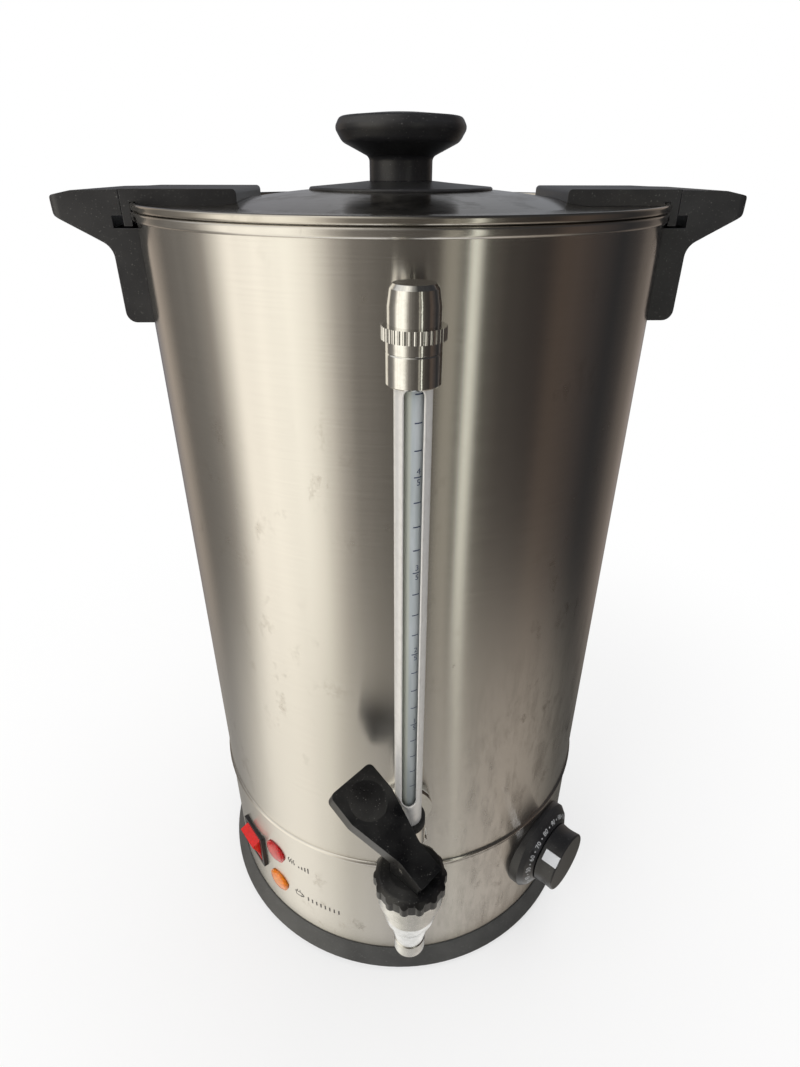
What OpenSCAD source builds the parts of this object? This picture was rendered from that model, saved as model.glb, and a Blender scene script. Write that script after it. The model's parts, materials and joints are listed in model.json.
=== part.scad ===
// Hot water urn of about 20 litres, standing on rubber feet.
// Origin: centre of the base, on the table. +Z is up and the tap faces -Y.
// Millimetres and degrees.

/* [Tank] */
// Outside diameter of tank and base skirt
tank_d = 262; // [240:1:290]
// Height of the tank's rim above the table
rim_z = 468; // [440:1:520]
// Height of the seam between skirt and tank
seam_z = 107; // [104:1:112]
// Sheet thickness of tank, skirt and lid
sheet_t = 0.8; // [0.6:0.1:1.2]
// How far the rolled rim stands out from the tank
rim_roll = 1.8; // [1.2:0.1:2.2]
// Height of the rolled rim
rim_roll_h = 4; // [3.2:0.1:5]
// Radius of the bead at the seam
seam_bead_r = 1.3; // [0.8:0.1:1.8]

/* [Base] */
// Height of the dark ring's upper edge above the table
ring_top_z = 16; // [13:0.5:20]
// How far the ring spreads beyond the skirt at the table
ring_flare = 6.6; // [4:0.1:10]
// Width of the ring's floor, inwards from the skirt
ring_floor_w = 19; // [17:0.5:26]
// Thickness of the ring's floor
ring_floor_t = 3.2; // [2.8:0.1:4]
// Height of the rubber feet
foot_h = 3; // [2:0.1:5]
// Diameter of the rubber feet
foot_d = 18; // [14:0.5:22]
// Width of the skirt's folded flanges
flange_w = 14; // [12:0.5:18]
// Radius of the cover screws' shanks
cover_screw_r = 2; // [1.5:0.1:2.5]

/* [Heating] */
// Diameter of the spreader plate under the tank
spreader_d = 170; // [150:1:200]
// Thickness of the spreader plate
spreader_t = 3; // [2:0.1:5]
// Radius of the large element's ring
heater_ring_r = 66; // [60:0.5:72]
// Radius of the large element's tube
heater_tube_r = 4; // [3:0.1:5]
// Radius of the keep-warm element's ring
warm_ring_r = 38; // [36:0.5:44]
// Radius of the keep-warm element's tube
warm_tube_r = 3.2; // [2.5:0.1:4]
// Length of each element's cold pins
cold_pin_l = 13; // [10:0.5:18]
// Radius of the thermostat's bulb
bulb_r = 3; // [2.5:0.1:3.5]
// Length of the thermostat's bulb
bulb_l = 40; // [30:1:44]

/* [Switch and lamps] */
// Height of the switch above the table
switch_z = 60.4; // [54:0.2:66]
// Bearing of the switch round the body from the tap
switch_az = -54; // [-62:0.5:-50]
// Width of the switch bezel
switch_w = 25.5; // [24:0.1:28]
// Height of the switch bezel
switch_h = 30.4; // [29:0.1:34]
// How far the bezel stands off the skirt
bezel_t = 1.8; // [1.2:0.1:2.6]
// Width of the bezel's rim round the window
bezel_rim = 2.4; // [1.8:0.1:3]
// Swing of the rocker to each side of level
rocker_swing = 16; // [10:0.5:16]
// Bearing of the two lamps from the tap
lamp_az = -42.2; // [-43:0.1:-36]
// Distance between the two lamps' centres
lamp_gap = 32; // [26:0.5:36]
// Diameter of the lamps' lenses
lamp_d = 17.4; // [14:0.1:18]
// Radius of the lamps' stems
lamp_stem_r = 5.9; // [4.5:0.1:6.5]

/* [Thermostat] */
// Height of the dial above the table
dial_z = 68.5; // [62:0.5:72]
// Bearing of the dial from the tap
dial_az = 46.6; // [42:0.2:54]
// Diameter of the numbered bezel
dial_d = 61.6; // [56:0.2:66]
// Height of the numbered bezel off the skirt
dial_bezel_h = 9.5; // [7:0.1:12]
// Diameter of the knob at its base
knob_grip_d = 41.6; // [36:0.2:44]
// Length of the knob's grip
knob_grip_l = 13.6; // [10:0.1:20]
// Radius of the spindle
spindle_r = 3; // [2.5:0.1:3.5]
// Distance between the two fixing screws
thermostat_screw_gap = 28; // [24:0.5:32]
// Angle at which the knob's pointer stands, from the right
pointer_deg = 135; // [90:1:180]

/* [Power inlet] */
// Height of the inlet above the table
inlet_z = 52; // [45:0.5:60]
// Width of the inlet's socket
socket_w = 24; // [23:0.1:26]
// Height of the inlet's socket
socket_h = 16.4; // [15.5:0.1:18]
// Depth of the inlet's socket
socket_deep = 16; // [14:0.5:18]
// Distance between the inlet's screws
inlet_screw_gap = 40; // [38:0.5:44]

/* [Tap] */
// Distance from the tank's wall to the tap's axis
tap_reach = 48; // [47:0.5:60]
// Height of the tap's shank above the seam
tap_rise = 33; // [32:0.5:36]
// Radius of the threaded shank
shank_r = 8; // [7:0.1:8.5]
// Radius of the waterway
waterway_r = 5; // [4:0.1:6]
// Outer radius of the nozzle
nozzle_r = 8.4; // [7.5:0.1:9]
// Bore radius of the nozzle
nozzle_bore_r = 6; // [5:0.1:6.4]
// Radius of the tap's collar
collar_r = 17; // [16:0.1:18]
// Radius of the bonnet over its lobes
bonnet_r = 18.8; // [18:0.1:19.4]
// Number of lobes on the bonnet
bonnet_lobes = 14; // [10:1:18]
// Radius of the valve stem
stem_r = 2.5; // [2:0.1:2.8]
// Height of the lever's pin above the bonnet
pin_rise = 7.2; // [6.8:0.1:9]
// Bearing of the lever from the right, seen from above
lever_heading = 136.1; // [136:0.1:150]
// Slope of the lever at rest
lever_slope = 25.8; // [22:0.1:30]
// Angle through which the lever is pressed down
lever_tilt = 25; // [15:0.5:25]
// Width of the lever at its root
lever_root_w = 15; // [14:0.1:16]
// Width of the lever at its tip
lever_tip_w = 29; // [24:0.1:29.6]
// Length of the lever from its root end
lever_l = 61.7; // [56:0.1:62]
// Thickness of the lever's paddle
lever_t = 7; // [5:0.1:7.4]

/* [Sight gauge] */
// Distance from the tank's wall to the gauge's axis
gauge_reach = 18.5; // [17.5:0.1:18.6]
// Height of the gauge's lower port above the seam
gauge_rise = 62; // [60.5:0.5:66]
// Distance from the tank's rim down to the gauge's top
gauge_drop = 15.4; // [12:0.1:40]
// Outer radius of the guard tube
guard_r = 7.2; // [6.6:0.05:7.2]
// Wall of the guard tube
guard_t = 1.1; // [0.8:0.1:1.3]
// Width of the guard's window
window_w = 8.3; // [7:0.1:9]
// Outer radius of the glass tube
glass_r = 4.6; // [4:0.1:5]
// Wall of the glass tube
glass_t = 1.2; // [0.8:0.1:1.5]
// Radius of the elbow's body
elbow_r = 9.4; // [8.8:0.1:9.6]
// Radius of the elbow's spigot
spigot_r = 6; // [5:0.1:6.5]
// Radius of the fluted ring
flute_r = 11.8; // [11:0.1:13]
// Number of flutes on the cap's ring
flutes = 36; // [24:1:44]

/* [Side handles] */
// Width of the handles and lid arms
handle_w = 72; // [60:1:84]
// How far the handles reach out from the tank
handle_reach = 35; // [30:0.5:45]
// Height of the handle, from leg to top
handle_h = 60; // [56:1:70]
// Thickness of the handle's leg
leg_t = 8.5; // [8:0.1:12]
// Thickness of the handle's tip
tip_t = 8; // [6:0.1:10]
// Distance between a handle's two screws
handle_screw_gap = 20; // [16:0.5:22]

/* [Lid] */
// Radius of the lid's dome
dome_r = 94; // [88:0.5:98]
// Rise of the dome
dome_rise = 8; // [5:0.1:10]
// Depth of the lid's plug inside the tank
plug_h = 10; // [7:0.5:14]
// Height of the arms' tops above the tank's rim
arm_rise = 9; // [8:0.1:12]
// Distance from the lid's centre to the arms' inner ends
arm_inner = 78; // [74:0.5:86]
// Diameter of the disc under the knob
knob_base_d = 94; // [84:1:100]
// Radius of the knob's stem
knob_stem_r = 16; // [13:0.1:18]
// Radius of the knob's head
knob_head_r = 33; // [28:0.5:36]
// Height of the knob above its disc
knob_h = 29.5; // [26:0.5:36]

/* [Fits] */
// Gap between pieces that move apart
gap = 0.3; // [0.2:0.05:0.4]
// Radial clearance of running fits
run_fit = 0.05; // [0.02:0.01:0.08]
// Clearance between curved pieces that are bolted together
seat_fit = 0.04; // [0.02:0.01:0.06]

/* [Hidden] */

fn_body = 180;
fn_part = 64;
fn_small = 32;

steel = [0.83, 0.81, 0.78];
bright = [0.90, 0.90, 0.89];
black = [0.09, 0.09, 0.10];
grey = [0.29, 0.29, 0.29];
rubber = [0.16, 0.16, 0.16];
white_rubber = [0.85, 0.84, 0.80];
brass = [0.79, 0.66, 0.36];

tank_r = tank_d / 2;
tank_in = tank_r - sheet_t;
// Longer than the whole part, for cuts that go right through
through = 1000;
floor_z = seam_z + 1;

// How far a wall of radius r falls back at a distance w from its crest
function sag(r, w) = r - sqrt(r * r - w * w);
function unit(v) = v / norm(v);

// Places a piece on the skirt or tank: its own x to the right, y up and z outwards
module at_wall(az, z) {
  rotate([0, 0, az]) translate([0, -tank_r, z]) rotate([90, 0, 0]) children();
}

// The solid inside of the tank wall's outer or inner face, seen from a piece placed by at_wall
module wall_core(r) {
  translate([0, 0, -tank_r]) rotate([90, 0, 0]) cylinder(h = through, r = r, center = true, $fn = fn_body);
}

// Flat outline with round corners, centred
module rounded_rect(w, h, r) {
  square([w - 2 * r, h], center = true);
  square([w, h - 2 * r], center = true);
  for (x = [-1, 1], y = [-1, 1]) {
    translate([x * (w / 2 - r), y * (h / 2 - r)]) circle(r, $fn = fn_small);
  }
}

// Points of a corner at b between a and c, rounded to radius r in n steps
function corner(a, b, c, r, n = 6) =
  r <= 0 ? [b] :
  let (
    u = unit(a - b),
    v = unit(c - b),
    half = acos(u * v) / 2,
    centre = b + unit(u + v) * r / sin(half),
    p = b + u * r / tan(half) - centre,
    q = b + v * r / tan(half) - centre,
    start = atan2(p.y, p.x),
    turn = atan2(p.x * q.y - p.y * q.x, p * q)
  )
  [for (i = [0 : n]) centre + r * [cos(start + turn * i / n), sin(start + turn * i / n)]];

// A closed outline from [x, y, corner radius] entries
function rounded_outline(pts) = [
  for (i = [0 : len(pts) - 1])
    let (
      a = pts[(i + len(pts) - 1) % len(pts)],
      b = pts[i],
      c = pts[(i + 1) % len(pts)]
    )
    each corner([a.x, a.y], [b.x, b.y], [c.x, c.y], b.z)
];

// Hexagonal nut with a round bore, on its face
module hex_nut(across_r, h, bore_r) {
  difference() {
    cylinder(h = h, r = across_r, $fn = 6);
    translate([0, 0, -1]) cylinder(h = h + 2, r = bore_r, $fn = fn_small);
  }
}

// Pan head screw: head from 0 up, shank from 0 down
module pan_screw(head_r, head_h, shank_r, shank_l) {
  difference() {
    cylinder(h = head_h, r = head_r, $fn = fn_small);
    for (a = [0, 90]) {
      rotate([0, 0, a]) translate([-head_r * 0.6, -head_r * 0.1, head_h * 0.5])
        cube([head_r * 1.2, head_r * 0.2, head_h]);
    }
  }
  translate([0, 0, -shank_l]) cylinder(h = shank_l, r = shank_r, $fn = fn_small);
}

// Round tube swept along points, with its rings square to the path
function path_dir(p, i) = unit(p[min(i + 1, len(p) - 1)] - p[max(i - 1, 0)]);
function ring_at(p, i, r, ref, sides) =
  let (
    t = path_dir(p, i),
    n = unit(cross(t, ref)),
    b = cross(t, n)
  )
  [for (s = [0 : sides - 1]) p[i] + r * (cos(360 * s / sides) * n + sin(360 * s / sides) * b)];

module swept_tube(p, r, ref, sides = 8) {
  rings = len(p);
  polyhedron(
    points = [for (i = [0 : rings - 1]) each ring_at(p, i, r, ref, sides)],
    faces = [
      [for (s = [0 : sides - 1]) s],
      for (i = [0 : rings - 2], s = [0 : sides - 1])
        let (a = i * sides + s, b = i * sides + (s + 1) % sides)
        each [[a, a + sides, b], [b, a + sides, b + sides]],
      [for (s = [sides - 1 : -1 : 0]) (rings - 1) * sides + s]
    ]
  );
}

// Smooth curve through hand-chosen points
function spline_point(p, i, t) =
  let (
    a = p[max(i - 1, 0)],
    b = p[i],
    c = p[i + 1],
    d = p[min(i + 2, len(p) - 1)]
  )
  0.5 * ((2 * b) + (c - a) * t + (2 * a - 5 * b + 4 * c - d) * t * t + (3 * b - a - 3 * c + d) * t * t * t);
function spline(p, steps) = concat(
  [for (i = [0 : len(p) - 2], s = [0 : steps - 1]) spline_point(p, i, s / steps)],
  [p[len(p) - 1]]
);

// ---------- Tank ----------

tap_port_z = seam_z + tap_rise;
gauge_port_z = seam_z + gauge_rise;
handle_top_z = rim_z + arm_rise;
handle_foot_z = handle_top_z - handle_h;
handle_screw_r = 2;
handle_screw_z = [handle_foot_z + 10, handle_foot_z + 10 + handle_screw_gap];
rim_wall = sheet_t + rim_roll;

module tank() {
  color(steel) difference() {
    rotate_extrude($fn = fn_body) {
      translate([tank_in, seam_z]) square([sheet_t, rim_z - rim_wall / 2 - seam_z]);
      translate([0, floor_z]) square([tank_in + sheet_t / 2, sheet_t]);
      for (z = [rim_z - rim_roll_h + rim_wall / 2, rim_z - rim_wall / 2]) {
        translate([tank_in + rim_wall / 2, z]) circle(rim_wall / 2, $fn = fn_small);
      }
      translate([tank_in, rim_z - rim_roll_h + rim_wall / 2]) square([rim_wall, rim_roll_h - rim_wall]);
      intersection() {
        translate([tank_r - sheet_t / 2, seam_z + seam_bead_r])
          circle(seam_bead_r + sheet_t / 2, $fn = fn_small);
        translate([tank_in, seam_z]) square([3 * seam_bead_r, 4 * seam_bead_r]);
      }
    }
    at_wall(0, tap_port_z) cylinder(h = 20, r = shank_r + seat_fit, center = true, $fn = fn_part);
    at_wall(0, gauge_port_z) cylinder(h = 20, r = spigot_r + seat_fit, center = true, $fn = fn_part);
    for (side = [-90, 90], z = handle_screw_z) {
      at_wall(side, z) cylinder(h = 20, r = handle_screw_r + seat_fit, center = true, $fn = fn_small);
    }
  }
}

// ---------- Base ----------

cover_z = foot_h + ring_floor_t;
skirt_z = cover_z + sheet_t;
screw_ring_r = tank_r - flange_w * 0.6;
foot_ring_r = tank_r - 6;
foot_spigot_r = 3;
lip_t = 1;
spindle_hole_r = spindle_r + 2;

module base_skirt() {
  color(steel) difference() {
    rotate_extrude($fn = fn_body) {
      translate([tank_in, skirt_z]) square([sheet_t, seam_z - skirt_z]);
      translate([tank_r - flange_w, skirt_z]) square([flange_w - sheet_t / 2, sheet_t]);
      translate([tank_r - flange_w / 2, seam_z - sheet_t]) square([flange_w / 2 - sheet_t / 2, sheet_t]);
    }
    for (a = [0 : 90 : 270]) {
      rotate([0, 0, a]) translate([0, -screw_ring_r, 0])
        cylinder(h = 2 * skirt_z, r = cover_screw_r + seat_fit, $fn = fn_small);
    }
    at_wall(switch_az, switch_z) cube([housing_w + 2 * gap, housing_h + 2 * gap, 20], center = true);
    for (z = lamp_z) {
      at_wall(lamp_az, z) cylinder(h = 20, r = lamp_stem_r + seat_fit, center = true, $fn = fn_small);
    }
    at_wall(dial_az, dial_z) {
      cylinder(h = 20, r = spindle_hole_r, center = true, $fn = fn_small);
      for (y = [-1, 1]) {
        translate([0, y * thermostat_screw_gap / 2, 0])
          cylinder(h = 20, r = thermostat_screw_r + seat_fit, center = true, $fn = fn_small);
      }
    }
    at_wall(180, inlet_z) {
      cube([inlet_body_w + 2 * gap, inlet_body_h + 2 * gap, 20], center = true);
      for (x = [-1, 1]) {
        translate([x * inlet_screw_gap / 2, 0, 0])
          cylinder(h = 20, r = inlet_screw_r + seat_fit, center = true, $fn = fn_small);
      }
    }
  }
}

module base_ring() {
  color(grey) difference() {
    rotate_extrude($fn = fn_body) polygon([
      [tank_r - ring_floor_w, foot_h],
      [tank_r + ring_flare - 1, foot_h],
      [tank_r + ring_flare, foot_h + 1],
      [tank_r + lip_t, ring_top_z - 0.4],
      [tank_r + lip_t - 0.4, ring_top_z],
      [tank_r + seat_fit, ring_top_z],
      [tank_r + seat_fit, cover_z],
      [tank_r - ring_floor_w, cover_z]
    ]);
    for (a = [0 : 90 : 270]) {
      rotate([0, 0, a]) translate([0, -screw_ring_r, 0]) {
        cylinder(h = 20, r = cover_screw_r + 2 * seat_fit, $fn = fn_small);
        cylinder(h = foot_h + screw_sink, r = 1.8 * cover_screw_r + gap, $fn = fn_small);
      }
      rotate([0, 0, a + 45]) translate([0, -foot_ring_r, 0])
        cylinder(h = 20, r = foot_spigot_r + seat_fit, $fn = fn_small);
    }
  }
}

screw_sink = ring_floor_t * 0.6;
vent_rows = 3;

module bottom_cover() {
  color(steel) translate([0, 0, cover_z]) difference() {
    cylinder(h = sheet_t, r = tank_in - 2, $fn = fn_body);
    for (a = [0 : 90 : 270]) {
      rotate([0, 0, a]) translate([0, -screw_ring_r, -1])
        cylinder(h = 4, r = cover_screw_r + 2 * seat_fit, $fn = fn_small);
    }
    for (a = [45 : 90 : 315], k = [0 : vent_rows - 1]) {
      rotate([0, 0, a]) translate([tank_r * 0.36 + 11 * k, 0, -1]) linear_extrude(4)
        rounded_rect(4, 34, 1.9);
    }
  }
}

module cover_screws() {
  color(bright) for (a = [0 : 90 : 270]) {
    rotate([0, 0, a]) translate([0, -screw_ring_r, foot_h + screw_sink]) rotate([180, 0, 0])
      pan_screw(1.8 * cover_screw_r, screw_sink * 0.9, cover_screw_r, ring_floor_t + 3 * sheet_t + 2);
  }
}

module rubber_feet() {
  color(rubber) for (a = [45 : 90 : 315]) {
    rotate([0, 0, a]) translate([0, -foot_ring_r, 0]) {
      translate([0, 0, foot_h / 3]) cylinder(h = foot_h * 2 / 3, r = foot_d / 2, $fn = fn_part);
      cylinder(h = foot_h / 3, r1 = foot_d / 2 - 1, r2 = foot_d / 2, $fn = fn_part);
      translate([0, 0, foot_h]) cylinder(h = ring_floor_t, r = foot_spigot_r, $fn = fn_small);
    }
  }
}

// ---------- Heating ----------

spreader_z = floor_z - spreader_t;
element_gap_deg = 60;

module heat_spreader() {
  color("silver") translate([0, 0, spreader_z]) cylinder(h = spreader_t, r = spreader_d / 2, $fn = fn_body);
}

// Tubular ring open at the back, pressed flat against the spreader, with two cold pins
module tubular_element(ring_r, tube_r) {
  flat = tube_r * 0.15;
  z = spreader_z - tube_r + flat;
  difference() {
    union() {
      translate([0, 0, z]) rotate([0, 0, 90 + element_gap_deg / 2])
        rotate_extrude(angle = 360 - element_gap_deg, $fn = fn_part) translate([ring_r, 0])
          circle(tube_r, $fn = fn_small);
      for (s = [-1, 1]) {
        rotate([0, 0, 90 + s * element_gap_deg / 2]) translate([ring_r, 0, 0]) {
          translate([0, 0, z]) sphere(tube_r, $fn = fn_small);
          translate([0, 0, z - 2 * tube_r]) cylinder(h = 2 * tube_r, r = tube_r, $fn = fn_small);
          translate([0, 0, z - cold_pin_l]) cylinder(h = cold_pin_l, r = tube_r * 0.45, $fn = fn_small);
        }
      }
    }
    translate([0, 0, spreader_z]) cylinder(h = 10, r = ring_r + 3 * tube_r, $fn = fn_part);
  }
}

module heating_element() {
  color("dimgray") tubular_element(heater_ring_r, heater_tube_r);
}

module keep_warm_element() {
  color("dimgray") tubular_element(warm_ring_r, warm_tube_r);
}

module thermal_cutout() {
  color(black) translate([0, -4, spreader_z]) {
    translate([0, 0, -1.2]) cylinder(h = 1.2, r = 11, $fn = fn_part);
    translate([0, 0, -9]) cylinder(h = 8, r = 8, $fn = fn_part);
    for (x = [-4, 4]) {
      translate([x - 0.4, -3, -16]) cube([0.8, 6, 7.5]);
    }
  }
}

thermostat_w = 34;
thermostat_h = 42;
thermostat_deep = 21;
thermostat_screw_r = 1.5;
thermostat_front = sheet_t + sag(tank_in, thermostat_w / 2) + seat_fit;

module thermostat_body() {
  color([0.85, 0.83, 0.76]) at_wall(dial_az, dial_z) difference() {
    translate([-thermostat_w / 2, -thermostat_h / 2, -thermostat_front - thermostat_deep])
      cube([thermostat_w, thermostat_h, thermostat_deep]);
    translate([0, 0, -thermostat_front - 8]) cylinder(h = 20, r = spindle_r + run_fit, $fn = fn_part);
    for (y = [-1, 1]) {
      translate([0, y * thermostat_screw_gap / 2, -thermostat_front - 6])
        cylinder(h = 20, r = thermostat_screw_r + seat_fit, $fn = fn_small);
    }
  }
}

bulb_y = 18;
bulb_z = spreader_z - bulb_r - 0.2;
thermostat_back_r = tank_r - thermostat_front - thermostat_deep;

// Point at radius r and height z on the thermostat's bearing, moved sideways by x
function on_dial_bearing(r, x, z) = [
  r * sin(dial_az) + x * cos(dial_az),
  -r * cos(dial_az) + x * sin(dial_az),
  z
];
capillary_r = 0.9;
capillary_end_z = dial_z + thermostat_h / 2 - 5;
capillary = [
  [bulb_l / 2, bulb_y, bulb_z],
  [bulb_l / 2 + 5, bulb_y, bulb_z - 1],
  [bulb_l / 2 + 9, bulb_y - 2, bulb_z - 7],
  [bulb_l / 2 + 14, bulb_y - 8, bulb_z - 14],
  on_dial_bearing(thermostat_back_r - 35, 8, bulb_z - 16),
  on_dial_bearing(thermostat_back_r - 12, 8, capillary_end_z),
  on_dial_bearing(thermostat_back_r, 8, capillary_end_z)
];

module thermostat_sensor() {
  color(brass) {
    translate([-bulb_l / 2, bulb_y, bulb_z]) rotate([0, 90, 0])
      cylinder(h = bulb_l, r = bulb_r, $fn = fn_small);
    for (x = [-bulb_l / 4, bulb_l / 4]) {
      translate([x - 2, bulb_y - bulb_r - 1, spreader_z - 1.5 * bulb_r]) difference() {
        cube([4, 2 * bulb_r + 2, 1.5 * bulb_r]);
        translate([-1, 1, -1]) cube([6, 2 * bulb_r, bulb_r]);
      }
    }
    swept_tube(spline(capillary, 3), capillary_r, [0.3, 0.9, 0.1]);
  }
}

screw_head_h = 1.6;
bezel_floor_t = 2;

module thermostat_screws() {
  color(bright) at_wall(dial_az, dial_z) for (y = [-1, 1]) {
    translate([0, y * thermostat_screw_gap / 2, bezel_floor_t])
      pan_screw(2 * thermostat_screw_r, screw_head_h, thermostat_screw_r, bezel_floor_t + thermostat_front + 5);
  }
}

// ---------- Power inlet, terminals and wiring ----------

inlet_wall = 1.7;
inlet_body_w = socket_w + 2 * inlet_wall;
inlet_body_h = socket_h + 2 * inlet_wall;
inlet_face = 2.5;
inlet_back = socket_deep + 4;
inlet_screw_r = 1.6;
inlet_flange_w = inlet_screw_gap + 12;
pin_spots = [[-7, -2], [7, -2], [0, 2.6]];

module power_inlet() {
  color(black) at_wall(180, inlet_z) difference() {
    union() {
      difference() {
        translate([0, 0, -5])
          linear_extrude(5 + inlet_face) rounded_rect(inlet_flange_w, inlet_body_h + 3, 3);
        wall_core(tank_r + seat_fit);
      }
      translate([-inlet_body_w / 2, -inlet_body_h / 2, -inlet_back])
        cube([inlet_body_w, inlet_body_h, inlet_back + inlet_face - 0.5]);
    }
    translate([0, 0, inlet_face - socket_deep]) linear_extrude(socket_deep + 1) polygon([
      [-socket_w / 2, -socket_h / 2],
      [socket_w / 2, -socket_h / 2],
      [socket_w / 2, socket_h / 2 - 4],
      [socket_w / 2 - 5, socket_h / 2],
      [-socket_w / 2 + 5, socket_h / 2],
      [-socket_w / 2, socket_h / 2 - 4]
    ]);
    for (x = [-1, 1]) {
      translate([x * inlet_screw_gap / 2, 0, -10])
        cylinder(h = 20, r = inlet_screw_r + seat_fit, $fn = fn_small);
    }
  }
}

module inlet_pins() {
  color(bright) at_wall(180, inlet_z) for (p = pin_spots) {
    translate([p.x - 1, p.y - 2, inlet_face - socket_deep]) cube([2, 4, socket_deep - 3]);
  }
}

module inlet_screws() {
  color(bright) at_wall(180, inlet_z) for (x = [-1, 1]) {
    translate([x * inlet_screw_gap / 2, 0, inlet_face]) pan_screw(3, 1.8, inlet_screw_r, 9);
  }
}

block_y = 60;
block_size = [30, 18, 14];
inside_z = cover_z + sheet_t;
stud_y = 36;
stud_h = 14;

module terminal_block() {
  color([0.9, 0.89, 0.85]) translate([-block_size.x / 2, block_y - block_size.y / 2, inside_z]) difference() {
    cube(block_size);
    for (x = [7, 15, 23], y = [5, 13]) {
      translate([x, y, block_size.z - 4]) cylinder(h = 6, r = 2, $fn = fn_small);
    }
  }
}

module earth_stud() {
  color(brass) translate([0, stud_y, inside_z]) {
    cylinder(h = stud_h, r = 2, $fn = fn_small);
    cylinder(h = 3.2, r = 4, $fn = 6);
    translate([0, 0, 8]) cylinder(h = 3.2, r = 4, $fn = 6);
  }
}

wire_r = 1.3;
wire_in_y = tank_r - inlet_back;
wire_block_z = inside_z + 7;
element_pin_x = heater_ring_r * sin(element_gap_deg / 2);
element_pin_y = heater_ring_r * cos(element_gap_deg / 2);
element_pin_z = spreader_z - 0.85 * heater_tube_r - cold_pin_l;
housing_deep = 22;
switch_back_r = tank_r - housing_deep;

// Point at radius r on the switch's bearing
function on_switch_bearing(r, z) = [r * sin(switch_az), -r * cos(switch_az), z];

// Two supply wires, one earth wire, one wire each to switch and thermostat, two to the element
module wiring() {
  color([0.75, 0.1, 0.08]) {
    for (s = [-1, 1]) {
      swept_tube(spline([
        [s * 7, wire_in_y, inlet_z - 2],
        [s * 7, wire_in_y - 8, inlet_z - 3],
        [s * 8, wire_in_y - 18, inlet_z - 16],
        [s * 8, block_y + 24, wire_block_z + 8],
        [s * 8, block_y + 17, wire_block_z],
        [s * 8, block_y + block_size.y / 2, wire_block_z]
      ], 2), wire_r, [1, 0, 0]);
      swept_tube(spline([
        [s * 11, block_y + 3, inside_z + block_size.z],
        [s * 11.5, block_y + 3, inside_z + block_size.z + 8],
        [s * 20, block_y + 1, inlet_z],
        [s * (element_pin_x - 3), element_pin_y, element_pin_z - 18],
        [s * element_pin_x, element_pin_y, element_pin_z - 8],
        [s * element_pin_x, element_pin_y, element_pin_z]
      ], 2), wire_r, [0, 1, 0]);
    }
    swept_tube(spline([
      [0, wire_in_y, inlet_z + 4],
      [0, wire_in_y - 10, inlet_z + 4],
      [0, block_y + 20, inlet_z - 2],
      [0, block_y, inlet_z - 12],
      [0, stud_y + 3, inlet_z - 18],
      [0, stud_y, inlet_z - 26],
      [0, stud_y, inside_z + stud_h]
    ], 2), wire_r, [1, 0, 0]);
    swept_tube(spline([
      [-8, block_y - block_size.y / 2, wire_block_z],
      [-8, block_y - block_size.y / 2 - 8, wire_block_z],
      [-20, 20, wire_block_z + 4],
      [-45, -5, wire_block_z + 20],
      on_switch_bearing(switch_back_r - 30, switch_z - 6),
      on_switch_bearing(switch_back_r - 12, switch_z),
      on_switch_bearing(switch_back_r, switch_z)
    ], 2), wire_r, [0.3, 0.1, 1]);
    swept_tube(spline([
      [8, block_y - block_size.y / 2, wire_block_z],
      [8, block_y - block_size.y / 2 - 8, wire_block_z],
      [22, 18, wire_block_z + 4],
      [45, -8, wire_block_z + 20],
      on_dial_bearing(thermostat_back_r - 30, 0, dial_z - 14),
      on_dial_bearing(thermostat_back_r - 12, 0, dial_z - 8),
      on_dial_bearing(thermostat_back_r, 0, dial_z - 8)
    ], 2), wire_r, [0.3, -0.1, 1]);
  }
}

// ---------- Thermostat dial ----------

dial_r = dial_d / 2;
grip_r = knob_grip_d / 2;
cup_r = grip_r - 1.4;
grip_base = dial_bezel_h + gap;
hub_r = 6;
hub_base = bezel_floor_t + screw_head_h + gap;
spindle_end = grip_base + knob_grip_l - 5;

module thermostat_spindle() {
  color(bright) at_wall(dial_az, dial_z) difference() {
    translate([0, 0, -thermostat_front - 7])
      cylinder(h = spindle_end + thermostat_front + 7, r = spindle_r, $fn = fn_part);
    translate([-spindle_r, spindle_r * 0.5, hub_base]) cube([2 * spindle_r, spindle_r, spindle_end]);
  }
}

// Numbered bezel: bevelled edge, conical face, and a cup behind the knob
module dial_bezel() {
  color(black) at_wall(dial_az, dial_z) difference() {
    rotate_extrude($fn = fn_body) polygon([
      [0, -6],
      [dial_r, -6],
      [dial_r, 2.8],
      [dial_r - 2.8, dial_bezel_h - 3.5],
      [grip_r + 0.3, dial_bezel_h],
      [0, dial_bezel_h]
    ]);
    wall_core(tank_r + seat_fit);
    translate([0, 0, bezel_floor_t]) cylinder(h = 20, r = cup_r, $fn = fn_part);
    translate([0, 0, -1]) cylinder(h = 20, r = spindle_hole_r, $fn = fn_small);
    for (y = [-1, 1]) {
      translate([0, y * thermostat_screw_gap / 2, -1])
        cylinder(h = 20, r = thermostat_screw_r + seat_fit, $fn = fn_small);
    }
  }
}

pointer_w = 7.5;
pointer_l = 11;
pointer_deep = 1.5;

module pointer_place() {
  at_wall(dial_az, dial_z) rotate([0, 0, pointer_deg])
    translate([grip_r - pointer_deep - 0.6, -pointer_w / 2, grip_base + knob_grip_l - pointer_l])
      children();
}

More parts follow.
